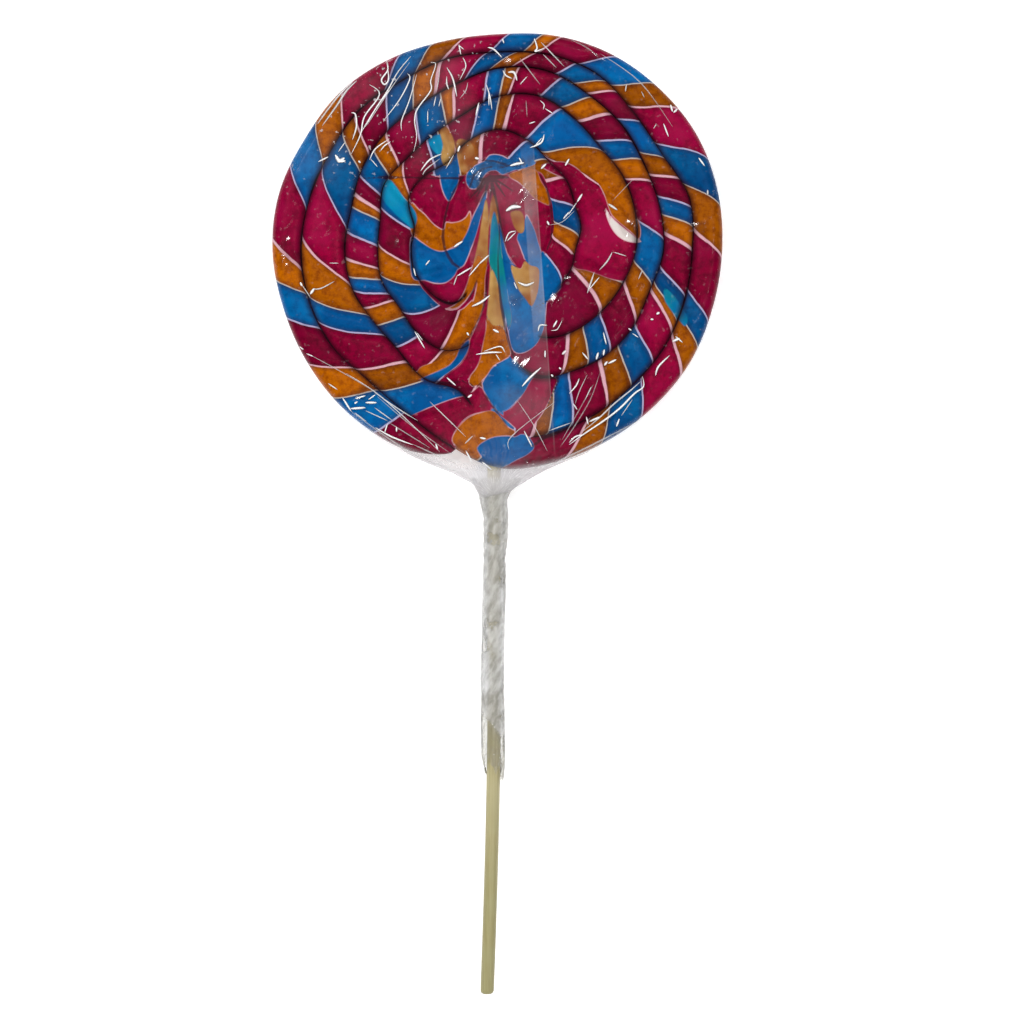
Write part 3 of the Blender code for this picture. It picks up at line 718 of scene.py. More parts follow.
def candy_finish():
    """Three clear sugar colours with white between them, finely mottled, glossy, with painted shade in the
    grooves, along the drag creases and beside each strand change.
    """
    n = Nodes("pulled_sugar")
    change = n.math("ROUND", n.attribute("change"))
    from_groove = n.attribute("from_groove")
    wobble = n.times(n.minus(n.noise(160.0, 2.0), 0.5), 0.6)
    from_change = n.plus(n.attribute("from_change"), wobble)
    after = n.fade(from_change, -0.06, 0.06)
    kind = n.math("FLOORED_MODULO", change, 3.0)
    to_crimson = n.math("LESS_THAN", kind, 0.5)
    to_orange = n.math("GREATER_THAN", kind, 1.5)
    to_blue = n.minus(1.0, n.plus(to_crimson, to_orange))
    mottle = n.noise(420.0, 4.0, 0.7)
    cloud = n.noise(70.0, 3.0, 0.6)
    crimson = n.blend(n.fade(mottle, 0.38, 0.68), CRIMSON_COLOUR, CRIMSON_DARK)
    crimson = n.blend(n.fade(cloud, 0.42, 0.7, 0.0, 0.8), crimson, CRIMSON_CLOUD)
    blue = n.blend(n.fade(cloud, 0.4, 0.68), BLUE_COLOUR, BLUE_LIGHT)
    blue = n.blend(n.fade(mottle, 0.4, 0.75, 0.0, 0.7), blue, BLUE_DARK)
    orange = n.blend(n.fade(mottle, 0.4, 0.7), ORANGE_COLOUR, ORANGE_DARK)
    before_it = n.blend(to_orange, n.blend(to_crimson, crimson, orange), blue)
    after_it = n.blend(to_orange, n.blend(to_crimson, blue, crimson), orange)
    coil = n.blend(after, before_it, after_it)
    strand = n.plus(change, n.math("GREATER_THAN", from_change, 0.0))
    own_tone = n.node("ShaderNodeTexWhiteNoise", {"noise_dimensions": "1D"}, W=strand)
    own_tone = n.fade(own_tone, 0.0, 1.0, 0.70, 1.18)
    coil = n.blend(1.0, coil, n.node("ShaderNodeCombineXYZ", X=own_tone, Y=own_tone, Z=own_tone), "MULTIPLY")
    # Painted shade beside each strand change, in the crease between the strands
    sunk = n.fade(n.math("ABSOLUTE", from_change), 0.2, 1.7, 0.42, 0.0)
    coil = n.blend(sunk, coil, GROOVE_SHADE_COLOUR)

    def line(kind_share, half_width, strength):
        """A pale line of a true width in millimetres along one kind of change."""
        apart = n.math("DIVIDE", n.math("ABSOLUTE", from_change), half_width)
        return n.times(kind_share, n.fade(apart, 0.6, 1.25, strength, 0.0))

    thick = n.fade(n.noise(42.0, 1.0), 0.4, 0.65, 0.26, 0.50)
    coil = n.blend(line(to_crimson, thick, 0.9), coil, ROSE_WHITE)
    coil = n.blend(line(to_blue, 0.26, 0.75), coil, LILAC_WHITE)
    coil = n.blend(line(to_orange, 0.2, 0.7), coil, STRAW_WHITE)

    streak = n.node("ShaderNodeSeparateXYZ", Vector=n.attribute("streak", "Vector")).node.outputs
    mixed = n.node("ShaderNodeSeparateXYZ", Vector=n.attribute("mixed_streak", "Vector")).node.outputs
    tan = n.blend(n.fade(cloud, 0.35, 0.7), TAN_COLOUR, ORANGE_DARK)
    teal = n.blend(n.fade(n.place_parts()[0], -0.02, -0.01), CYAN_COLOUR, TEAL_COLOUR)
    teal = n.blend(n.fade(cloud, 0.35, 0.7), teal, BLUE_LIGHT)
    parts = (*streak, *mixed)
    highest = parts[0]
    for part, colour, soft in zip(parts, (crimson, blue, orange, tan, teal, PALE_COLOUR),
                                  (0.08, 0.08, 0.08, 0.30, 0.30, 0.25)):
        coil = n.blend(n.fade(part, -soft, soft), coil, colour)
        highest = n.math("MAXIMUM", highest, part)
    edge = n.times(n.fade(highest, 0.05, 0.30, 1.0, 0.0), n.fade(highest, -0.2, -0.05))
    # No pale line where an area meets its own strand
    before = n.minus(1.0, after)
    base = [n.plus(n.times(starts, after), n.times(ends, before))
            for starts, ends in ((to_crimson, to_blue), (to_blue, to_orange), (to_orange, to_crimson))]
    near = [n.fade(part, -0.45, -0.35) for part in parts]
    for strand_number in range(3):
        others = [near[other] for other in KINDS if other != strand_number]
        other_near = others[0]
        for value in others[1:]:
            other_near = n.math("MAXIMUM", other_near, value)
        alone = n.times(near[strand_number], n.minus(1.0, other_near))
        edge = n.times(edge, n.minus(1.0, n.times(alone, base[strand_number])))
    blended = n.math("MAXIMUM", near[TAN], near[TEAL])
    edge = n.times(edge, n.minus(1.0, blended))
    patchy = n.fade(n.noise(110.0, 2.0), 0.38, 0.62, 0.15, 0.6)
    coil = n.blend(n.times(edge, patchy), coil, ROSE_WHITE)

    # Painted shade: a dark line in each groove with a wider dark band beside it, and dark lines along the
    # drag creases
    uneven = n.fade(n.noise(120.0, 3.0, 0.6), 0.3, 0.7, -0.02, 0.20)
    firm = n.minus(1.0, n.attribute("melted"))
    groove = n.times(n.fade(n.minus(from_groove, uneven), 0.0, 0.26, 1.0, 0.0), firm)
    groove = n.times(groove, n.fade(n.noise(90.0, 2.0), 0.35, 0.6, 0.55, 1.0))
    shade = n.times(n.fade(from_groove, 0.0, 2.1, 0.60, 0.0), firm)
    crease = n.attribute("crease")
    groove = n.math("MAXIMUM", groove, n.fade(crease, -0.32, 0.12, 0.0, 0.9))
    coil = n.blend(shade, coil, GROOVE_SHADE_COLOUR)
    coil = n.blend(n.times(groove, 0.86), coil, GROOVE_SHADE_COLOUR)

    ripple = n.times(n.noise(260.0, 3.0), 0.6)
    height = n.plus(ripple, n.times(mottle, 0.25))
    bump = n.node("ShaderNodeBump", Strength=0.25, Distance=0.0005, Height=height)
    roughness = n.fade(mottle, 0.3, 0.8, 0.30, 0.48)
    return n.finish(n.node("ShaderNodeBsdfPrincipled", Base_Color=coil, Roughness=roughness,
                           Specular_IOR_Level=0.06, Normal=bump))


candy.data.materials.append(candy_finish())
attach(candy, "root")
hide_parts("candy_head")


# The wrapper: one clear film laid over both faces of the coil, drawn tight round its rim, and gathered to a
# point where the stick comes out. It is glossy, finely crinkled, and milky where it is doubled or gathered.
FILM_GAP = 0.22
FILM_FLOOR_GAP = 0.05
FILM_SPOKES = 480
FILM_RINGS = 90
FILM_UNDER_RINGS = 30
FILM_RIM_RINGS = 22
RIM_ROUNDING = 4.6
NECK_X = -1.2
NECK_Y = -74.5
NECK_REACH = (
    # Angle from the stick's line, and how far from the coil's middle the gathered film reaches there
    (-24.6, 66.4), (-18.5, 66.5), (-15.5, 66.8), (-12.0, 67.6), (-8.5, 69.0), (-4.6, 71.2), (-2.7, 72.6),
    (0.0, 73.6), (3.0, 74.6), (4.4, 73.8), (6.2, 70.4), (11.5, 68.2), (15.5, 67.6), (20.0, 67.2),
    (26.0, 66.6),
)


def film_reach(angle):
    """How far the wrapper reaches from the coil's middle: to the coil's own outline, or the cone's."""
    total = np.where(angle < ROPE_START, angle + 360.0, angle)
    own = outer_radius(total) + FILM_GAP
    signed = np.where(angle > 180.0, angle - 360.0, angle)
    cone_angles, cone_reach = np.array(NECK_REACH).T
    cone = np.where((signed < cone_angles[0]) | (signed > cone_angles[-1]), 0.0,
                    np.interp(signed, cone_angles, cone_reach))
    return np.maximum(own, cone)


def build_wrap():
    """Rings of points from the middle of each face out to the rim they share."""
    angles = np.arange(FILM_SPOKES) * 360.0 / FILM_SPOKES
    reach = film_reach(angles)
    turned = np.radians(angles)
    rim_shares = 1.0 - np.cos(np.linspace(0.0, np.pi / 2, FILM_RIM_RINGS))
    points, counts = [], []
    for rings, rise in ((FILM_RINGS, HEAD_THICKNESS + FILM_GAP - RIM_HEIGHT),
                        (FILM_UNDER_RINGS, FILM_FLOOR_GAP - RIM_HEIGHT)):
        rows = [(share * (reach - RIM_ROUNDING), 0.0) for share in np.linspace(0.0, 1.0, rings)[1:-1]]
        rows += [(reach - RIM_ROUNDING * share, 1.0 - share) for share in rim_shares[::-1]]
        counts.append(len(rows))
        for radius, station in rows:
            z = RIM_HEIGHT + rise * (1.0 - station**CROWN_POWER) ** (1.0 / CROWN_POWER)
            x, y = -radius * np.sin(turned), -radius * np.cos(turned)
            points.append(np.stack([x, y, np.full_like(x, z)], 1))
    return points, *counts


def ring_faces(first, second, count):
    """The band of faces between two rings of points, which start at these numbers."""
    return [(first + i, first + (i + 1) % count, second + (i + 1) % count, second + i) for i in range(count)]


def wrap_object():
    """The closed film: both faces, joined at the rim's top ring, and a point in the middle of each."""
    rings, top_count, under_count = build_wrap()
    count = FILM_SPOKES
    faces = []
    for ring in range(top_count - 1):
        faces += ring_faces(ring * count, (ring + 1) * count, count)
    base = top_count * count
    for ring in range(under_count - 2):
        faces += ring_faces(base + ring * count, base + (ring + 1) * count, count)
    faces += ring_faces(base + (under_count - 2) * count, (top_count - 1) * count, count)
    used = [tuple(p) for p in np.concatenate(rings)[: base + (under_count - 1) * count]]
    for first in (0, base):
        used.append((0.0, 0.0, used[first][2]))
        for i in range(count):
            faces.append((first + i, first + (i + 1) % count, len(used) - 1))
    made = mesh_object("film_wrap", used, faces)
    turn_outwards(made)
    return made


def crinkle(n, patches, angle, across, along, low, high, shift):
    """Short creases in one direction, in patches: a height from 0 to 1."""
    place = n.stretched((1.0 / across, 1.0 / along, 1.0), angle, (shift, shift * 0.7, 0.0))
    return n.times(n.noise(1.0, 1.0, 0.4, place), n.fade(patches, low, high))


WHITE = (1.0, 1.0, 1.0, 1.0)
# The doubled strip of film over the drag mark, in metres: its sides, and where it, its edge and its haze end
STRIP_LEAN = 0.07
STRIP_LEFT, STRIP_FOLD, STRIP_RIGHT = -0.0086, 0.0088, 0.0128
STRIP_ENDS = (-0.024, 0.026)
STRIP_EDGE_ENDS = (-0.060, 0.030)
STRIP_HAZE_ENDS = (-0.052, 0.024)
COIL_RIM = (0.0640, 0.0672)
CONE_START = (-0.050, -0.058)


def film_finish():
    """Clear film: see-through, with bright glints on its creases, pale veils where it is doubled, and painted
    white sparkle specks, most in the upper left.
    """
    n = Nodes("clear_film")
    x, y, _ = n.place_parts()
    patches = n.noise(38.0, 2.0, 0.55)
    other_patches = n.minus(1.0, patches)
    steep = crinkle(n, patches, -34.0, 330.0, 45.0, 0.56, 0.68, 0.013)
    level = crinkle(n, other_patches, 48.0, 300.0, 45.0, 0.60, 0.72, 0.171)
    height = n.plus(steep, n.times(level, 0.8))
    height = n.plus(height, n.times(n.noise(60.0, 1.0), 0.5))
    bump = n.node("ShaderNodeBump", Strength=1.0, Distance=0.0011, Height=height)
    fresnel = n.node("ShaderNodeFresnel", IOR=1.5, Normal=bump)
    gloss = n.node("ShaderNodeBsdfGlossy", Color=WHITE, Roughness=0.12, Normal=bump)
    clear = n.node("ShaderNodeBsdfTransparent", Color=WHITE)
    milk = n.node("ShaderNodeBsdfDiffuse", Color=(0.72, 0.70, 0.72, 1.0))

    def inside(value, low, high, soft=0.0002):
        """1 between two limits, with soft ends."""
        rises = n.fade(value, low - soft, low + soft)
        return n.times(rises, n.fade(value, high - soft, high + soft, 1.0, 0.0))

    # The doubled strip leans a little outwards towards the stick
    leaning = n.plus(x, n.times(y, STRIP_LEAN))
    uneven = n.noise(55.0, 2.0)
    strip = n.times(inside(leaning, STRIP_FOLD, STRIP_RIGHT), inside(y, *STRIP_ENDS, 0.010))
    strip = n.times(strip, n.fade(uneven, 0.3, 0.7, 0.05, 0.12))
    strip_edge = inside(leaning, STRIP_RIGHT - 0.0003, STRIP_RIGHT + 0.0001, 0.0001)
    strip_edge = n.times(strip_edge, inside(y, *STRIP_EDGE_ENDS, 0.004))
    strip_wide = n.times(inside(leaning, STRIP_LEFT, STRIP_RIGHT), inside(y, *STRIP_HAZE_ENDS, 0.006))
    strip_wide = n.times(strip_wide, n.fade(uneven, 0.4, 0.7, 0.0, 0.06))
    # The gathered film fans out from the neck in fine pleats
    away_x = n.minus(x, NECK_X * MM)
    away_y = n.minus(y, NECK_Y * MM)
    from_neck = n.plus(n.times(away_x, away_x), n.times(away_y, away_y))
    from_neck = n.math("SQRT", from_neck)
    fan = n.math("ARCTAN2", away_x, away_y)
    bent = n.plus(fan, n.times(n.noise(140.0, 2.0), 0.35))
    pleats = n.node("ShaderNodeCombineXYZ", X=n.times(bent, 4.0), Y=n.times(from_neck, 22.0))
    pleats = n.noise(4.2, 2.0, 0.6, pleats)
    pleat_lines = n.fade(n.math("ABSOLUTE", n.minus(pleats, 0.5)), 0.0, 0.02, 1.0, 0.0)
    near = n.fade(from_neck, 0.006, 0.022, 1.0, 0.0)
    outside = n.plus(n.times(x, x), n.times(y, y))
    outside = n.fade(outside, COIL_RIM[0] ** 2, COIL_RIM[1] ** 2)
    low = n.fade(y, *CONE_START)
    veil = n.plus(strip, strip_wide)
    veil = n.plus(veil, n.times(strip_edge, 0.05))
    veil = n.plus(veil, n.times(near, n.math("MULTIPLY_ADD", pleat_lines, 0.12, 0.02)))
    gathered = n.fade(from_neck, 0.010, 0.034, 0.03, 0.0)
    veil = n.plus(veil, n.times(gathered, n.fade(pleats, 0.3, 0.65, 0.25, 1.0)))
    upper_left = n.times(n.fade(x, 0.002, -0.012), n.fade(y, 0.014, 0.030))
    veil = n.plus(veil, n.times(upper_left, n.fade(uneven, 0.40, 0.70, 0.0, 0.03)))
    # Painted highlights: tiny white specks that stand for sparkle on the film, most in the upper left
    painted_sparkle = n.fade(n.noise(640.0, 2.0), 0.65, 0.72, 0.0, 0.42)
    veil = n.plus(veil, n.times(painted_sparkle, n.math("MULTIPLY_ADD", upper_left, 0.85, 0.15)))
    cone = n.times(n.times(outside, low), n.math("MULTIPLY_ADD", pleat_lines, 0.22, 0.36))
    veil = n.plus(veil, cone, clamp=True)
    # Glints in patches, fewer on the rim
    shine = n.math("MINIMUM", n.times(n.minus(fresnel, 0.022), 4.0, clamp=True), 0.35)
    shine = n.times(shine, n.fade(n.noise(85.0, 1.0), 0.62, 0.67, 0.02, 0.8))
    shine = n.times(shine, n.fade(outside, 0.0, 0.6, 1.0, 0.12))
    film = n.node("ShaderNodeMixShader", i0=shine, i1=clear, i2=gloss)
    return n.finish(n.node("ShaderNodeMixShader", i0=veil, i1=film, i2=milk))


# Creases and folds of the film, raised on it, on the same grid: half-width, paleness, then places. The
# brightest are painted glints, white whatever the light.
PAINTED_GLINT, PALE_FOLD, FAINT = 1.0, 0.5, 0.22
FOLDS = (
    # Upper left
    (0.9, PAINTED_GLINT, (388, 64), (388, 72), (382, 81), (385, 86), (389, 80), (387, 62)),
    (0.7, PAINTED_GLINT, (411, 58), (398, 74), (388, 92), (371, 118), (361, 135)),
    (0.5, PALE_FOLD, (410, 64), (394, 86), (378, 110), (368, 126)),
    (0.7, PAINTED_GLINT, (392, 89), (378, 107), (366, 128)),
    (0.8, PAINTED_GLINT, (370, 86), (380, 96), (365, 118), (361, 136), (352, 155)),
    (0.7, PAINTED_GLINT, (408, 75), (410, 81), (400, 101), (384, 122)),
    (0.6, PAINTED_GLINT, (417, 76), (410, 101), (402, 122), (402, 132)),
    (0.7, PAINTED_GLINT, (431, 64), (436, 66), (431, 82), (431, 92), (418, 110), (415, 122), (417, 138), (414, 153)),
    (0.6, PALE_FOLD, (440, 68), (439, 80), (437, 92)), (0.9, PAINTED_GLINT, (447, 69), (453, 80), (457, 98)),
    (0.7, PAINTED_GLINT, (447, 78), (447, 85), (449, 91)), (0.5, PALE_FOLD, (468, 84), (466, 92), (460, 100)),
    (0.6, PAINTED_GLINT, (463, 59), (466, 68), (460, 81)), (0.7, PAINTED_GLINT, (459, 46), (461, 56)),
    (0.5, PAINTED_GLINT, (459, 47), (464, 51)), (1.1, PALE_FOLD, (357, 82), (347, 92), (338, 106), (323, 127)),
    (1.1, PALE_FOLD, (353, 83), (338, 98), (318, 125)),
    (0.9, PAINTED_GLINT, (352, 114), (356, 116), (357, 128), (353, 141)),
    (0.7, PAINTED_GLINT, (390, 140), (376, 150), (370, 161)), (0.7, PAINTED_GLINT, (391, 143), (385, 147), (381, 152)),
    (2.0, PAINTED_GLINT, (336, 156), (340, 162), (345, 159)), (1.5, PAINTED_GLINT, (338, 163), (346, 162)),
    (0.8, PAINTED_GLINT, (329, 158), (319, 163)), (0.5, PAINTED_GLINT, (346, 143), (339, 153)),
    (0.5, PAINTED_GLINT, (371, 160), (378, 168)), (1.0, PAINTED_GLINT, (359, 162), (361, 164)),
    (0.9, PAINTED_GLINT, (442, 155), (430, 161), (421, 172)), (0.7, PALE_FOLD, (440, 160), (427, 170), (423, 176)),
    (0.9, PAINTED_GLINT, (503, 72), (506, 77), (512, 80)), (1.3, PAINTED_GLINT, (508, 74), (514, 74), (517, 82)),
    (0.9, PAINTED_GLINT, (488, 49), (494, 51), (502, 59)), (0.8, PAINTED_GLINT, (501, 36), (504, 45)),
    (0.7, PAINTED_GLINT, (486, 85), (490, 98), (492, 111)), (0.7, PAINTED_GLINT, (489, 93), (489, 107)),
    (0.9, PAINTED_GLINT, (479, 104), (476, 117)), (0.5, PAINTED_GLINT, (428, 112), (428, 124)),
    (0.5, PAINTED_GLINT, (436, 98), (434, 108)), (0.5, PAINTED_GLINT, (441, 100), (439, 108)),
    (1.2, PAINTED_GLINT, (460, 147), (458, 153)), (1.3, PAINTED_GLINT, (475, 159), (479, 160)),
    (0.5, PAINTED_GLINT, (454, 156), (446, 170)),
    # Upper right
    (0.9, PAINTED_GLINT, (533, 37), (537, 49), (535, 53), (544, 50)), (0.7, PALE_FOLD, (541, 44), (564, 68)),
    (0.6, PALE_FOLD, (543, 56), (556, 69)), (0.7, FAINT, (520, 60), (540, 86)),
    (0.5, PAINTED_GLINT, (520, 86), (527, 78)), (0.6, PAINTED_GLINT, (540, 102), (544, 106), (543, 111)),
    (0.6, PAINTED_GLINT, (545, 110), (553, 115)), (0.6, FAINT, (526, 102), (527, 118)),
    (1.0, PAINTED_GLINT, (530, 149), (541, 144), (544, 136)), (0.6, PAINTED_GLINT, (535, 147), (542, 139)),
    (0.7, PAINTED_GLINT, (529, 125), (535, 123)), (1.4, PAINTED_GLINT, (510, 167), (517, 165), (524, 164)),
    (0.8, PAINTED_GLINT, (519, 159), (522, 164)), (1.1, PAINTED_GLINT, (569, 160), (565, 167)),
    (1.1, PAINTED_GLINT, (546, 165), (541, 170)), (1.1, PAINTED_GLINT, (582, 195), (577, 203)),
    (0.5, PAINTED_GLINT, (577, 203), (568, 216)), (0.8, PAINTED_GLINT, (569, 213), (563, 220)),
    (0.4, PALE_FOLD, (574, 212), (562, 223), (549, 226)), (2.0, PAINTED_GLINT, (506, 212), (513, 208), (521, 208)),
    (1.1, PAINTED_GLINT, (547, 222), (549, 226)), (1.2, PAINTED_GLINT, (608, 205), (617, 211)),
    (0.4, FAINT, (633, 180), (612, 202)), (0.7, PALE_FOLD, (626, 86), (625, 93)),
    (0.5, PALE_FOLD, (641, 93), (644, 99)), (1.1, PAINTED_GLINT, (670, 106), (672, 113)),
    (1.0, PAINTED_GLINT, (673, 114), (677, 110)), (0.8, PAINTED_GLINT, (663, 125), (668, 138)),
    (0.5, PALE_FOLD, (656, 125), (653, 130)), (0.9, PAINTED_GLINT, (698, 159), (704, 167)),
    (0.9, PALE_FOLD, (707, 191), (707, 196)), (0.6, FAINT, (571, 41), (588, 50), (598, 59)),
    (0.6, FAINT, (600, 55), (640, 84), (672, 128)),
    # Middle
    (0.7, PAINTED_GLINT, (505, 243), (509, 234), (516, 232)), (0.6, PAINTED_GLINT, (507, 242), (516, 233)),
    (1.1, PAINTED_GLINT, (454, 248), (463, 242)), (0.9, PAINTED_GLINT, (479, 265), (489, 256)),
    (0.7, PAINTED_GLINT, (469, 277), (480, 264)), (0.9, PAINTED_GLINT, (457, 277), (472, 268)),
    (0.7, PALE_FOLD, (454, 286), (457, 277)), (0.8, PAINTED_GLINT, (426, 266), (430, 261)),
    (1.3, PAINTED_GLINT, (518, 283), (526, 286), (534, 283)), (0.7, PAINTED_GLINT, (514, 283), (517, 290)),
    (1.2, PAINTED_GLINT, (472, 307), (481, 303), (490, 296)), (1.0, PAINTED_GLINT, (476, 355), (490, 353), (502, 353)),
    (0.7, PAINTED_GLINT, (484, 352), (500, 347), (505, 353)), (1.3, PAINTED_GLINT, (493, 330), (499, 333)),
    (0.6, PAINTED_GLINT, (496, 355), (500, 361)), (1.0, PAINTED_GLINT, (467, 333), (469, 336)),
    (1.0, PAINTED_GLINT, (538, 332), (540, 326), (547, 326)), (1.2, PAINTED_GLINT, (522, 387), (530, 378), (541, 368)),
    (0.9, PAINTED_GLINT, (447, 378), (456, 386)), (1.2, PAINTED_GLINT, (468, 398), (472, 395)),
    (0.9, PAINTED_GLINT, (545, 351), (545, 358)), (1.0, PAINTED_GLINT, (559, 368), (561, 370)),
    (1.0, PAINTED_GLINT, (551, 375), (553, 377)),
    # Lower right
    (0.9, PALE_FOLD, (612, 253), (607, 262), (599, 271)), (0.6, PALE_FOLD, (613, 253), (626, 257)),
    (0.9, PALE_FOLD, (594, 273), (590, 285), (587, 294)), (0.6, PAINTED_GLINT, (599, 278), (589, 290)),
    (1.3, PAINTED_GLINT, (656, 315), (659, 313)), (1.0, PAINTED_GLINT, (650, 320), (653, 320)),
    (0.7, PALE_FOLD, (642, 271), (638, 280)), (1.0, PAINTED_GLINT, (553, 328), (557, 321)),
    (0.5, PAINTED_GLINT, (551, 331), (557, 330), (562, 321)), (1.3, PAINTED_GLINT, (562, 355), (566, 351)),
    (0.8, PAINTED_GLINT, (582, 353), (588, 360)), (1.2, PAINTED_GLINT, (596, 360), (598, 353)),
    (1.1, PAINTED_GLINT, (603, 356), (604, 350)), (0.8, PAINTED_GLINT, (603, 333), (606, 345)),
    (1.2, PAINTED_GLINT, (604, 366), (607, 362)), (1.1, PAINTED_GLINT, (608, 364), (616, 360)),
    (0.9, PAINTED_GLINT, (628, 329), (631, 331)), (0.5, PAINTED_GLINT, (632, 334), (638, 338)),
    (1.4, PAINTED_GLINT, (672, 342), (679, 339)), (0.8, PAINTED_GLINT, (675, 337), (682, 343)),
    (1.0, PAINTED_GLINT, (669, 356), (658, 367), (655, 376)),
    (1.0, PAINTED_GLINT, (642, 377), (643, 387), (634, 394), (619, 409), (602, 422), (584, 434), (569, 445)),
    (0.8, PALE_FOLD, (640, 382), (630, 391), (614, 404), (598, 419), (582, 432)),
    (0.8, PAINTED_GLINT, (579, 379), (576, 386), (569, 394)), (0.7, PAINTED_GLINT, (573, 404), (577, 410)),
    (0.8, PAINTED_GLINT, (586, 417), (588, 425)), (1.1, PAINTED_GLINT, (589, 422), (600, 417)),
    (0.9, PAINTED_GLINT, (619, 419), (616, 427)), (0.5, PALE_FOLD, (632, 400), (621, 416)),
    (0.8, PAINTED_GLINT, (569, 443), (575, 437), (583, 435)), (0.5, PALE_FOLD, (587, 375), (579, 392), (575, 404)),
    (0.6, FAINT, (600, 372), (590, 400), (572, 430), (560, 447)),
    (0.6, FAINT, (593, 385), (578, 412), (562, 440)), (0.5, PAINTED_GLINT, (591, 387), (585, 400)),
    (0.6, PALE_FOLD, (549, 431), (571, 423)), (0.8, FAINT, (640, 420), (590, 446), (548, 466)),
    # Lower left
    (1.4, PAINTED_GLINT, (311, 295), (315, 289)), (0.7, PALE_FOLD, (313, 290), (322, 289), (335, 282)),
    (1.1, PAINTED_GLINT, (301, 283), (303, 287)), (0.5, PALE_FOLD, (303, 286), (311, 298)),
    (0.5, PALE_FOLD, (330, 264), (339, 264)), (0.7, PAINTED_GLINT, (414, 269), (416, 277)),
    (0.8, PAINTED_GLINT, (415, 332), (425, 349)), (0.4, PAINTED_GLINT, (417, 333), (423, 341)),
    (0.6, PAINTED_GLINT, (300, 347), (304, 350)), (0.6, PAINTED_GLINT, (307, 354), (314, 357)),
    (0.6, FAINT, (312, 356), (345, 374), (375, 392)),
    (0.6, PALE_FOLD, (347, 374), (375, 392), (405, 418), (440, 452)),
    (0.6, PALE_FOLD, (375, 393), (400, 410), (418, 421)), (0.6, FAINT, (378, 397), (412, 426), (450, 453)),
    (0.6, PAINTED_GLINT, (329, 384), (338, 390)), (0.9, PAINTED_GLINT, (356, 399), (366, 396)),
    (1.0, PAINTED_GLINT, (355, 404), (358, 402)), (1.2, PAINTED_GLINT, (366, 403), (377, 403)),
    (0.7, PAINTED_GLINT, (376, 395), (369, 400)), (1.0, PAINTED_GLINT, (343, 398), (352, 412)),
    (1.2, PAINTED_GLINT, (351, 409), (366, 408)), (0.7, PALE_FOLD, (355, 413), (367, 422)),
    (0.6, PALE_FOLD, (366, 411), (388, 421)), (0.6, PALE_FOLD, (375, 408), (393, 421)),
    (0.9, PAINTED_GLINT, (376, 428), (392, 437), (413, 445)), (0.7, PAINTED_GLINT, (388, 424), (385, 433)),
    (0.9, PAINTED_GLINT, (397, 427), (397, 432)), (0.6, FAINT, (388, 422), (430, 448)),
    (0.7, FAINT, (412, 444), (456, 464)), (0.6, PALE_FOLD, (430, 402), (466, 437)),
    (1.0, PAINTED_GLINT, (436, 444), (438, 450)), (0.9, PAINTED_GLINT, (466, 451), (473, 464)),
    (0.8, PALE_FOLD, (473, 436), (465, 444)), (1.1, PAINTED_GLINT, (480, 438), (486, 439)),
    (0.8, PAINTED_GLINT, (524, 431), (532, 447)), (0.5, PALE_FOLD, (555, 402), (512, 436), (509, 450)),
    (0.5, PALE_FOLD, (518, 402), (534, 426), (547, 451)), (0.9, PAINTED_GLINT, (482, 462), (492, 470)),
    (0.9, FAINT, (352, 412), (410, 452), (468, 476)),
)
FOLD_STEPS = 5
FOLD_HEIGHT = 0.035
FOLD_END = 0.03
FOLD_TAPER = 0.6


def film_height(x, y):
    """Height of the film above the floor at places over the coil or its neck."""
    angle = np.degrees(np.arctan2(-x, -y)) % 360.0
    station = np.clip((np.hypot(x, y) - film_reach(angle)) / RIM_ROUNDING + 1.0, 0.0, 0.999)
    fall = (1.0 - station**CROWN_POWER) ** (1.0 / CROWN_POWER)
    return RIM_HEIGHT + (HEAD_THICKNESS + FILM_GAP - RIM_HEIGHT) * fall


def build_folds():
    """Each fold is a thin smooth ridge that tapers to both ends."""
    points, faces, paleness = [], [], []
    for half, pale, *stops in FOLDS:
        stops = from_grid(stops)
        t = np.linspace(0.0, len(stops) - 1.0, FOLD_STEPS * (len(stops) - 1) + 1)
        x, y = spline(stops[:, 0], t), spline(stops[:, 1], t)
        along_x, along_y = np.gradient(x), np.gradient(y)
        length = np.hypot(along_x, along_y)
        side_x, side_y = -along_y / length, along_x / length
        taper = np.sin(np.pi * np.clip(t / t[-1], FOLD_END, 1.0 - FOLD_END)) ** FOLD_TAPER
        wide = half * SQUARE * taper
        z = film_height(x, y)
        first = len(points)
        for i in range(len(t)):
            points.append((x[i] - side_x[i] * wide[i], y[i] - side_y[i] * wide[i], z[i]))
            points.append((x[i], y[i], z[i] + FOLD_HEIGHT * taper[i]))
            points.append((x[i] + side_x[i] * wide[i], y[i] + side_y[i] * wide[i], z[i]))
            paleness += [pale] * 3
        for i in range(len(t) - 1):
            a = first + 3 * i
            for corner in range(3):
                other = (corner + 1) % 3
                faces.append((a + corner, a + other, a + 3 + other, a + 3 + corner))
        faces.append((first, first + 1, first + 2))
        faces.append((len(points) - 3, len(points) - 2, len(points) - 1))
    return points, faces, paleness


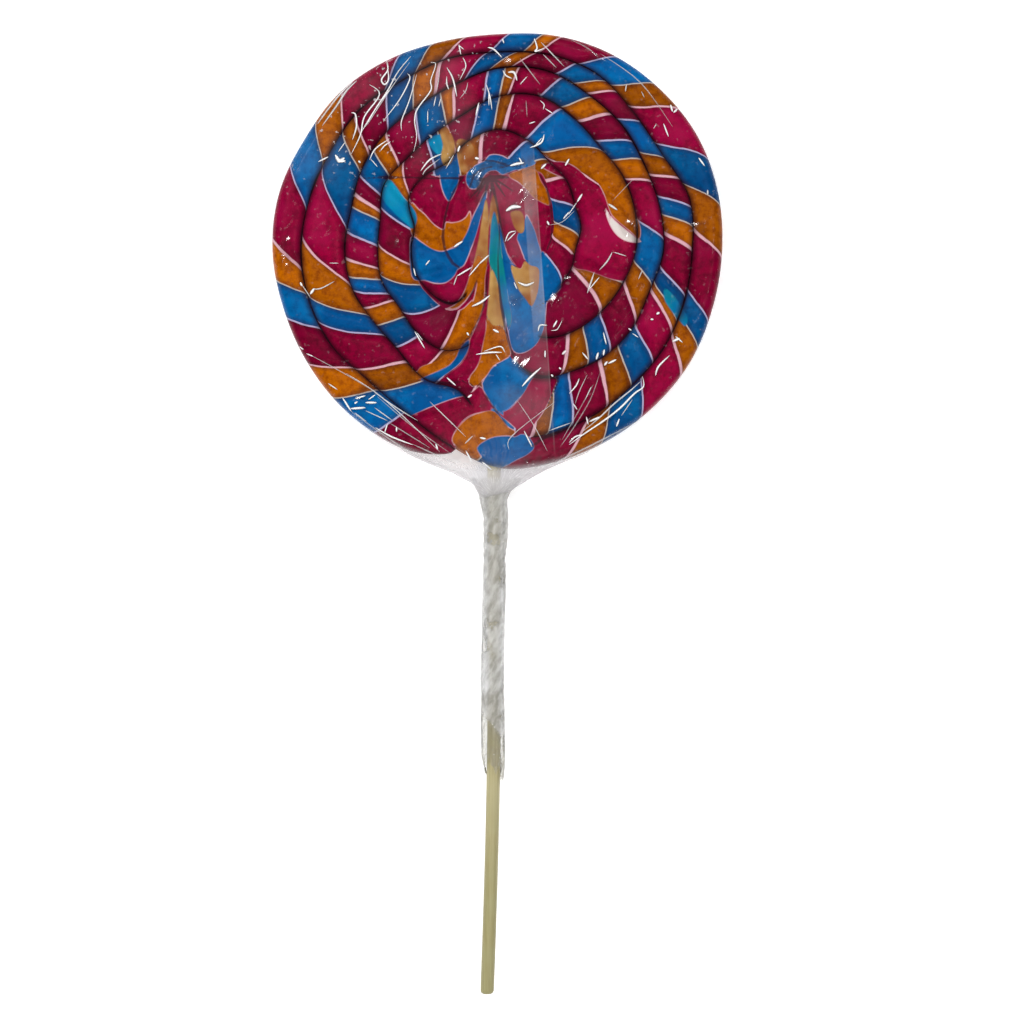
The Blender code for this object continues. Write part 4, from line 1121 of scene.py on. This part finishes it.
def fold_finish():
    """The film's own creases: milky white as pale as each is, which on the brightest is a painted glint, with
    a little gloss, and clear where faint.
    """
    n = Nodes("folded_film_glints")
    gloss = n.node("ShaderNodeBsdfGlossy", Color=WHITE, Roughness=0.5)
    milk = n.node("ShaderNodeBsdfDiffuse", Color=WHITE)
    clear = n.node("ShaderNodeBsdfTransparent", Color=WHITE)
    pale = n.attribute("paleness")
    # Painted highlight: the paleness alone makes the brightest folds white, not the lamps
    shown = n.times(pale, n.fade(n.noise(130.0, 2.0), 0.3, 0.6, 0.7, 1.2), clamp=True)
    sheet = n.node("ShaderNodeMixShader", i0=shown, i1=clear, i2=milk)
    return n.finish(n.node("ShaderNodeMixShader", i0=n.times(shown, 0.2), i1=sheet, i2=gloss))


fold_points, fold_faces, paleness = build_folds()
folds = mesh_object("film_folds", fold_points, fold_faces)
turn_outwards(folds)
add_measure(folds, "paleness", paleness)
folds.data.materials.append(fold_finish())
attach(folds, "root")
wrap = wrap_object()
wrap.data.materials.append(film_finish())
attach(wrap, "root")
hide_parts("candy_head")


# The sleeve: the same film gathered to a neck below the coil and twisted round the stick, milky from its many
# folds, with the stick dimly seen through it. It ends in a torn edge.
SLEEVE_SECTIONS = (
    # Distance below the coil's middle, left edge, right edge, half the thickness
    (68.4, -9.0, 7.6, 4.6), (70.4, -7.3, 6.2, 4.5), (72.6, -6.3, 4.0, 4.1), (75.0, -5.7, 3.0, 3.9),
    (80.1, -4.5, 3.4, 3.6), (85.8, -4.4, 3.3, 3.5), (93.0, -4.5, 2.4, 3.4), (103.5, -4.9, 2.5, 3.4),
    (114.0, -5.0, 2.1, 3.4), (124.5, -5.2, 2.0, 3.4), (132.0, -5.3, 1.9, 3.3), (140.4, -5.4, 2.1, 3.3),
    (153.0, -5.2, 2.2, 3.2), (157.2, -4.4, 1.7, 3.0),
)
SLEEVE_SIDES = 96
SLEEVE_ROWS = 330
SLEEVE_TWIST = 38.0
SLEEVE_CRUMPLE = 0.045
TEAR_START = 148.0
TEAR_REACH = 9.0


def build_sleeve():
    """A tube through the sections, with folds that wind round it, small rings, and a torn lower edge."""
    sections = np.array(SLEEVE_SECTIONS)
    distance = np.linspace(sections[0, 0], sections[-1, 0], SLEEVE_ROWS)
    left, right, thick = (np.interp(distance, sections[:, 0], sections[:, column]) for column in (1, 2, 3))
    turned = np.arange(SLEEVE_SIDES) * 2.0 * np.pi / SLEEVE_SIDES
    a, d = np.meshgrid(turned, distance)
    wind = 2.0 * np.pi * d / SLEEVE_TWIST
    folds = 0.50 * np.sin(5.0 * a + wind + 0.8 * np.sin(d / 5.1))
    folds = folds + 0.3 * np.sin(9.0 * a - 1.7 * wind + 1.3 * np.sin(d / 3.3))
    rings = 0.35 * np.sin(d * 1.9 + 1.2 * np.sin(2.0 * a + d / 7.0)) * (0.5 + 0.5 * np.sin(d / 6.3))
    swell = 1.0 - SLEEVE_CRUMPLE * (1.0 + folds + rings)
    torn = np.clip((d - TEAR_START) / TEAR_REACH, 0.0, 1.0)
    tear = 3.2 * np.sin(a + 2.4) + 1.4 * np.sin(5.0 * a + 0.7) + 0.8 * np.sin(11.0 * a)
    x = (left + right)[:, None] / 2 + (right - left)[:, None] / 2 * swell * np.cos(a)
    z = RIM_HEIGHT + thick[:, None] * swell * np.sin(a)
    y = -(d + torn * tear)
    points = [tuple(p) for p in np.stack([x, y, z], 2).reshape(-1, 3)]
    faces = []
    for row in range(SLEEVE_ROWS - 1):
        faces += ring_faces(row * SLEEVE_SIDES, (row + 1) * SLEEVE_SIDES, SLEEVE_SIDES)
    return points, faces


FOLD_SHADE = (0.50, 0.50, 0.49)
FOLD_LIGHT = (0.80, 0.80, 0.81)
DULL_FILM = (0.84, 0.83, 0.80)
STICK_TINT_AND_SHADE = (0.74, 0.73, 0.66)


def sleeve_finish():
    """Many layers of crinkled film: milky, clearer in patches over the stick and clear past the last fold."""
    n = Nodes("gathered_film")
    x, y, _ = n.place_parts()
    folds = n.noise(640.0, 4.0, 0.6, n.stretched((1.0, 3.0, 1.0), -24.0))
    rings = n.noise(330.0, 3.0, 0.6, n.stretched((2.6, 1.0, 1.0), 6.0))
    height = n.plus(folds, rings)
    bump = n.node("ShaderNodeBump", Strength=0.9, Distance=0.0006, Height=height)
    gloss = n.node("ShaderNodeBsdfGlossy", Color=WHITE, Roughness=0.16, Normal=bump)
    milk_colour = n.blend(n.fade(folds, 0.35, 0.65), FOLD_SHADE, FOLD_LIGHT)
    dull = n.fade(n.noise(48.0, 1.0), 0.42, 0.56, 0.0, 1.0)
    milk_colour = n.blend(dull, milk_colour, DULL_FILM, "MULTIPLY")
    # Over the stick the milky film is darkened: partly the stick's own colour seen through it, partly painted
    # shade
    off_stick = n.math("ABSOLUTE", n.minus(x, STICK_X * MM))
    over_stick = n.fade(off_stick, 0.0006, 0.0024, 0.45, 0.0)
    milk_colour = n.blend(over_stick, milk_colour, STICK_TINT_AND_SHADE, "MULTIPLY")
    milk = n.node("ShaderNodeBsdfDiffuse", Color=milk_colour, Normal=bump)
    clear = n.node("ShaderNodeBsdfTransparent", Color=(0.97, 0.97, 0.96, 1.0))
    patches = n.fade(n.noise(120.0, 3.0, 0.6), 0.5, 0.66)
    thick = n.minus(0.66, n.times(patches, 0.36))
    slant = n.plus(y, n.times(x, 1.1))
    past = n.fade(slant, -0.1425, -0.1462)
    thick = n.times(thick, n.minus(1.0, n.times(past, 0.80)))
    fresnel = n.node("ShaderNodeFresnel", IOR=1.5, Normal=bump)
    shine = n.times(fresnel, 1.2, clamp=True)
    film = n.node("ShaderNodeMixShader", i0=thick, i1=clear, i2=milk)
    return n.finish(n.node("ShaderNodeMixShader", i0=shine, i1=film, i2=gloss))


sleeve = mesh_object("film_sleeve", *build_sleeve())
turn_outwards(sleeve)
sleeve.data.materials.append(sleeve_finish())
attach(sleeve, "root")
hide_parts("film_neck")


# The stick: a round bamboo stick, cut to length and rounded at its end, gently bent to the left below the
# wrapper. Its upper end is inside the candy.
STICK_RADIUS = 2.025
STICK_TOP = 20.0
STICK_TIP = -223.5
STICK_BEND_START = -140.0
STICK_BEND = 2.1
STICK_CUTS = 24
END_ROUNDING = 1.3
bpy.ops.object.select_all(action="DESELECT")
bpy.ops.mesh.primitive_cylinder_add(
    vertices=48, radius=STICK_RADIUS * MM, depth=(STICK_TOP - STICK_TIP) * MM,
    location=(STICK_X * MM, (STICK_TOP + STICK_TIP) / 2 * MM, RIM_HEIGHT * MM),
    rotation=(math.pi / 2, 0.0, 0.0))
stick = bpy.context.object
stick.name = "bamboo_stick"
bpy.ops.object.transform_apply(location=True, rotation=True, scale=True)
bpy.ops.object.mode_set(mode="EDIT")
for cut in range(STICK_CUTS):
    bpy.ops.mesh.select_all(action="SELECT")
    cut_y = STICK_BEND_START + (STICK_TIP + 2.0 - STICK_BEND_START) * cut / STICK_CUTS
    bpy.ops.mesh.bisect(plane_co=(0.0, cut_y * MM, 0.0), plane_no=(0.0, 1.0, 0.0))
bpy.ops.object.mode_set(mode="OBJECT")
for vertex in stick.data.vertices:
    share = max(STICK_BEND_START - vertex.co.y / MM, 0.0) / (STICK_BEND_START - STICK_TIP)
    vertex.co.x -= STICK_BEND * share**1.5 * MM
rounding = stick.modifiers.new("rounded_ends", "BEVEL")
rounding.width = END_ROUNDING * MM
rounding.segments = 5
rounding.limit_method = "ANGLE"
rounding.angle_limit = math.radians(60)
bpy.ops.object.modifier_apply(modifier=rounding.name)
bpy.ops.object.shade_smooth_by_angle(angle=math.radians(40))


BAMBOO = (0.45, 0.40, 0.225)
BAMBOO_GRAIN = (0.36, 0.31, 0.155)
BAMBOO_FIBRE = (0.19, 0.155, 0.07)
BAMBOO_PALE = (0.43, 0.41, 0.25)
BAMBOO_LOW = (0.74, 0.75, 0.65)


def bamboo_finish():
    """Pale split bamboo: straight grain, a few darker fibres, a dull natural sheen."""
    n = Nodes("bare_bamboo")
    along = n.stretched((1.0, 40.0, 1.0))
    grain = n.noise(1500.0, 3.0, 0.6, along)
    fibres = n.noise(3200.0, 2.0, 0.7, along)
    tone = n.noise(90.0, 2.0)
    colour = n.blend(n.fade(grain, 0.3, 0.7), BAMBOO, BAMBOO_GRAIN)
    colour = n.blend(n.fade(fibres, 0.62, 0.78, 0.0, 0.5), colour, BAMBOO_FIBRE)
    colour = n.blend(n.fade(tone, 0.4, 0.7, 0.0, 0.35), colour, BAMBOO_PALE)
    low = n.fade(n.place_parts()[1], -0.150, -0.205)
    colour = n.blend(low, colour, BAMBOO_LOW, "MULTIPLY")
    bump = n.node("ShaderNodeBump", Strength=0.35, Distance=0.00015, Height=grain)
    return n.finish(n.node("ShaderNodeBsdfPrincipled", Base_Color=colour, Roughness=0.55, Normal=bump))


stick.data.materials.clear()
stick.data.materials.append(bamboo_finish())
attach(stick, "root")
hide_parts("stick")


# The floor, the light and the camera: a plain pale floor, soft studio light from all sides, and the camera
# straight above, framed as the photograph is.
FLOOR_SIZE = 6.0
FLOOR_DROP = 0.0002
FLOOR_GREY = (0.95, 0.95, 0.95, 1.0)
WORLD_STRENGTH = 0.025
bpy.ops.object.select_all(action="DESELECT")
bpy.ops.mesh.primitive_plane_add(size=FLOOR_SIZE, location=(0.0, 0.0, -FLOOR_DROP))
floor = bpy.context.object
floor.name = "floor"
n = Nodes("pale_floor")
floor.data.materials.append(n.finish(n.node("ShaderNodeBsdfPrincipled", Base_Color=FLOOR_GREY, Roughness=0.9,
                                            Specular_IOR_Level=0.0, Emission_Color=WHITE,
                                            Emission_Strength=0.35)))

world = bpy.context.scene.world or bpy.data.worlds.new("studio")
bpy.context.scene.world = world
world.use_nodes = True
sky = world.node_tree.nodes["Background"].inputs
sky["Color"].default_value = WHITE
sky["Strength"].default_value = WORLD_STRENGTH


def panel(name, place, target, size, watts):
    """A square area light that faces a target."""
    data = bpy.data.lights.new(name, "AREA")
    data.shape = "RECTANGLE"
    data.size = data.size_y = size
    data.energy = watts
    made = bpy.data.objects.new(name, data)
    made.location = place
    made.rotation_euler = (Vector(target) - Vector(place)).to_track_quat("-Z", "Y").to_euler()
    bpy.context.scene.collection.objects.link(made)
    return made


MIDDLE = (0.0042, -0.0786, 0.0)
PANEL_REACH = 1.3
PANEL_HEIGHT = 1.2
PANEL_SIZE = 1.2
PANEL_WATTS = (11.5, 17.5, 12.5, 8.5)
for number in range(4):
    turned = math.radians(45.0 + 90.0 * number)
    panel_x = MIDDLE[0] + PANEL_REACH * math.cos(turned)
    panel_y = MIDDLE[1] + PANEL_REACH * math.sin(turned)
    spot = (panel_x, panel_y, PANEL_HEIGHT)
    soft = panel(f"soft_panel_{number}", spot, MIDDLE, PANEL_SIZE, PANEL_WATTS[number])
    soft.visible_glossy = False
# Small lamps above the camera, for the glints on the film
LAMPS = ((-0.42, 0.34), (0.16, 0.60), (0.62, 0.10), (0.10, -0.62))
LAMP_HEIGHT = 1.5
LAMP_SIZE = 0.13
LAMP_WATTS = 2.2
for number, (lamp_x, lamp_y) in enumerate(LAMPS):
    panel(f"lamp_{number}", (MIDDLE[0] + lamp_x, lamp_y, LAMP_HEIGHT), (0.0, 0.0, 0.0), LAMP_SIZE, LAMP_WATTS)

CAMERA_DISTANCE = 1.2
CAMERA_FOCUS_HEIGHT = 0.008
PHOTO_SPAN = 0.3072
SENSOR = 36.0
camera_data = bpy.data.cameras.new("camera")
camera_data.sensor_width = SENSOR
camera_data.lens = SENSOR * CAMERA_DISTANCE / PHOTO_SPAN
camera = bpy.data.objects.new("camera", camera_data)
camera.location = (MIDDLE[0], MIDDLE[1], CAMERA_DISTANCE + CAMERA_FOCUS_HEIGHT)
bpy.context.scene.collection.objects.link(camera)
bpy.context.scene.camera = camera
bpy.context.scene.view_settings.view_transform = "Standard"
bpy.context.scene.view_settings.look = "None"
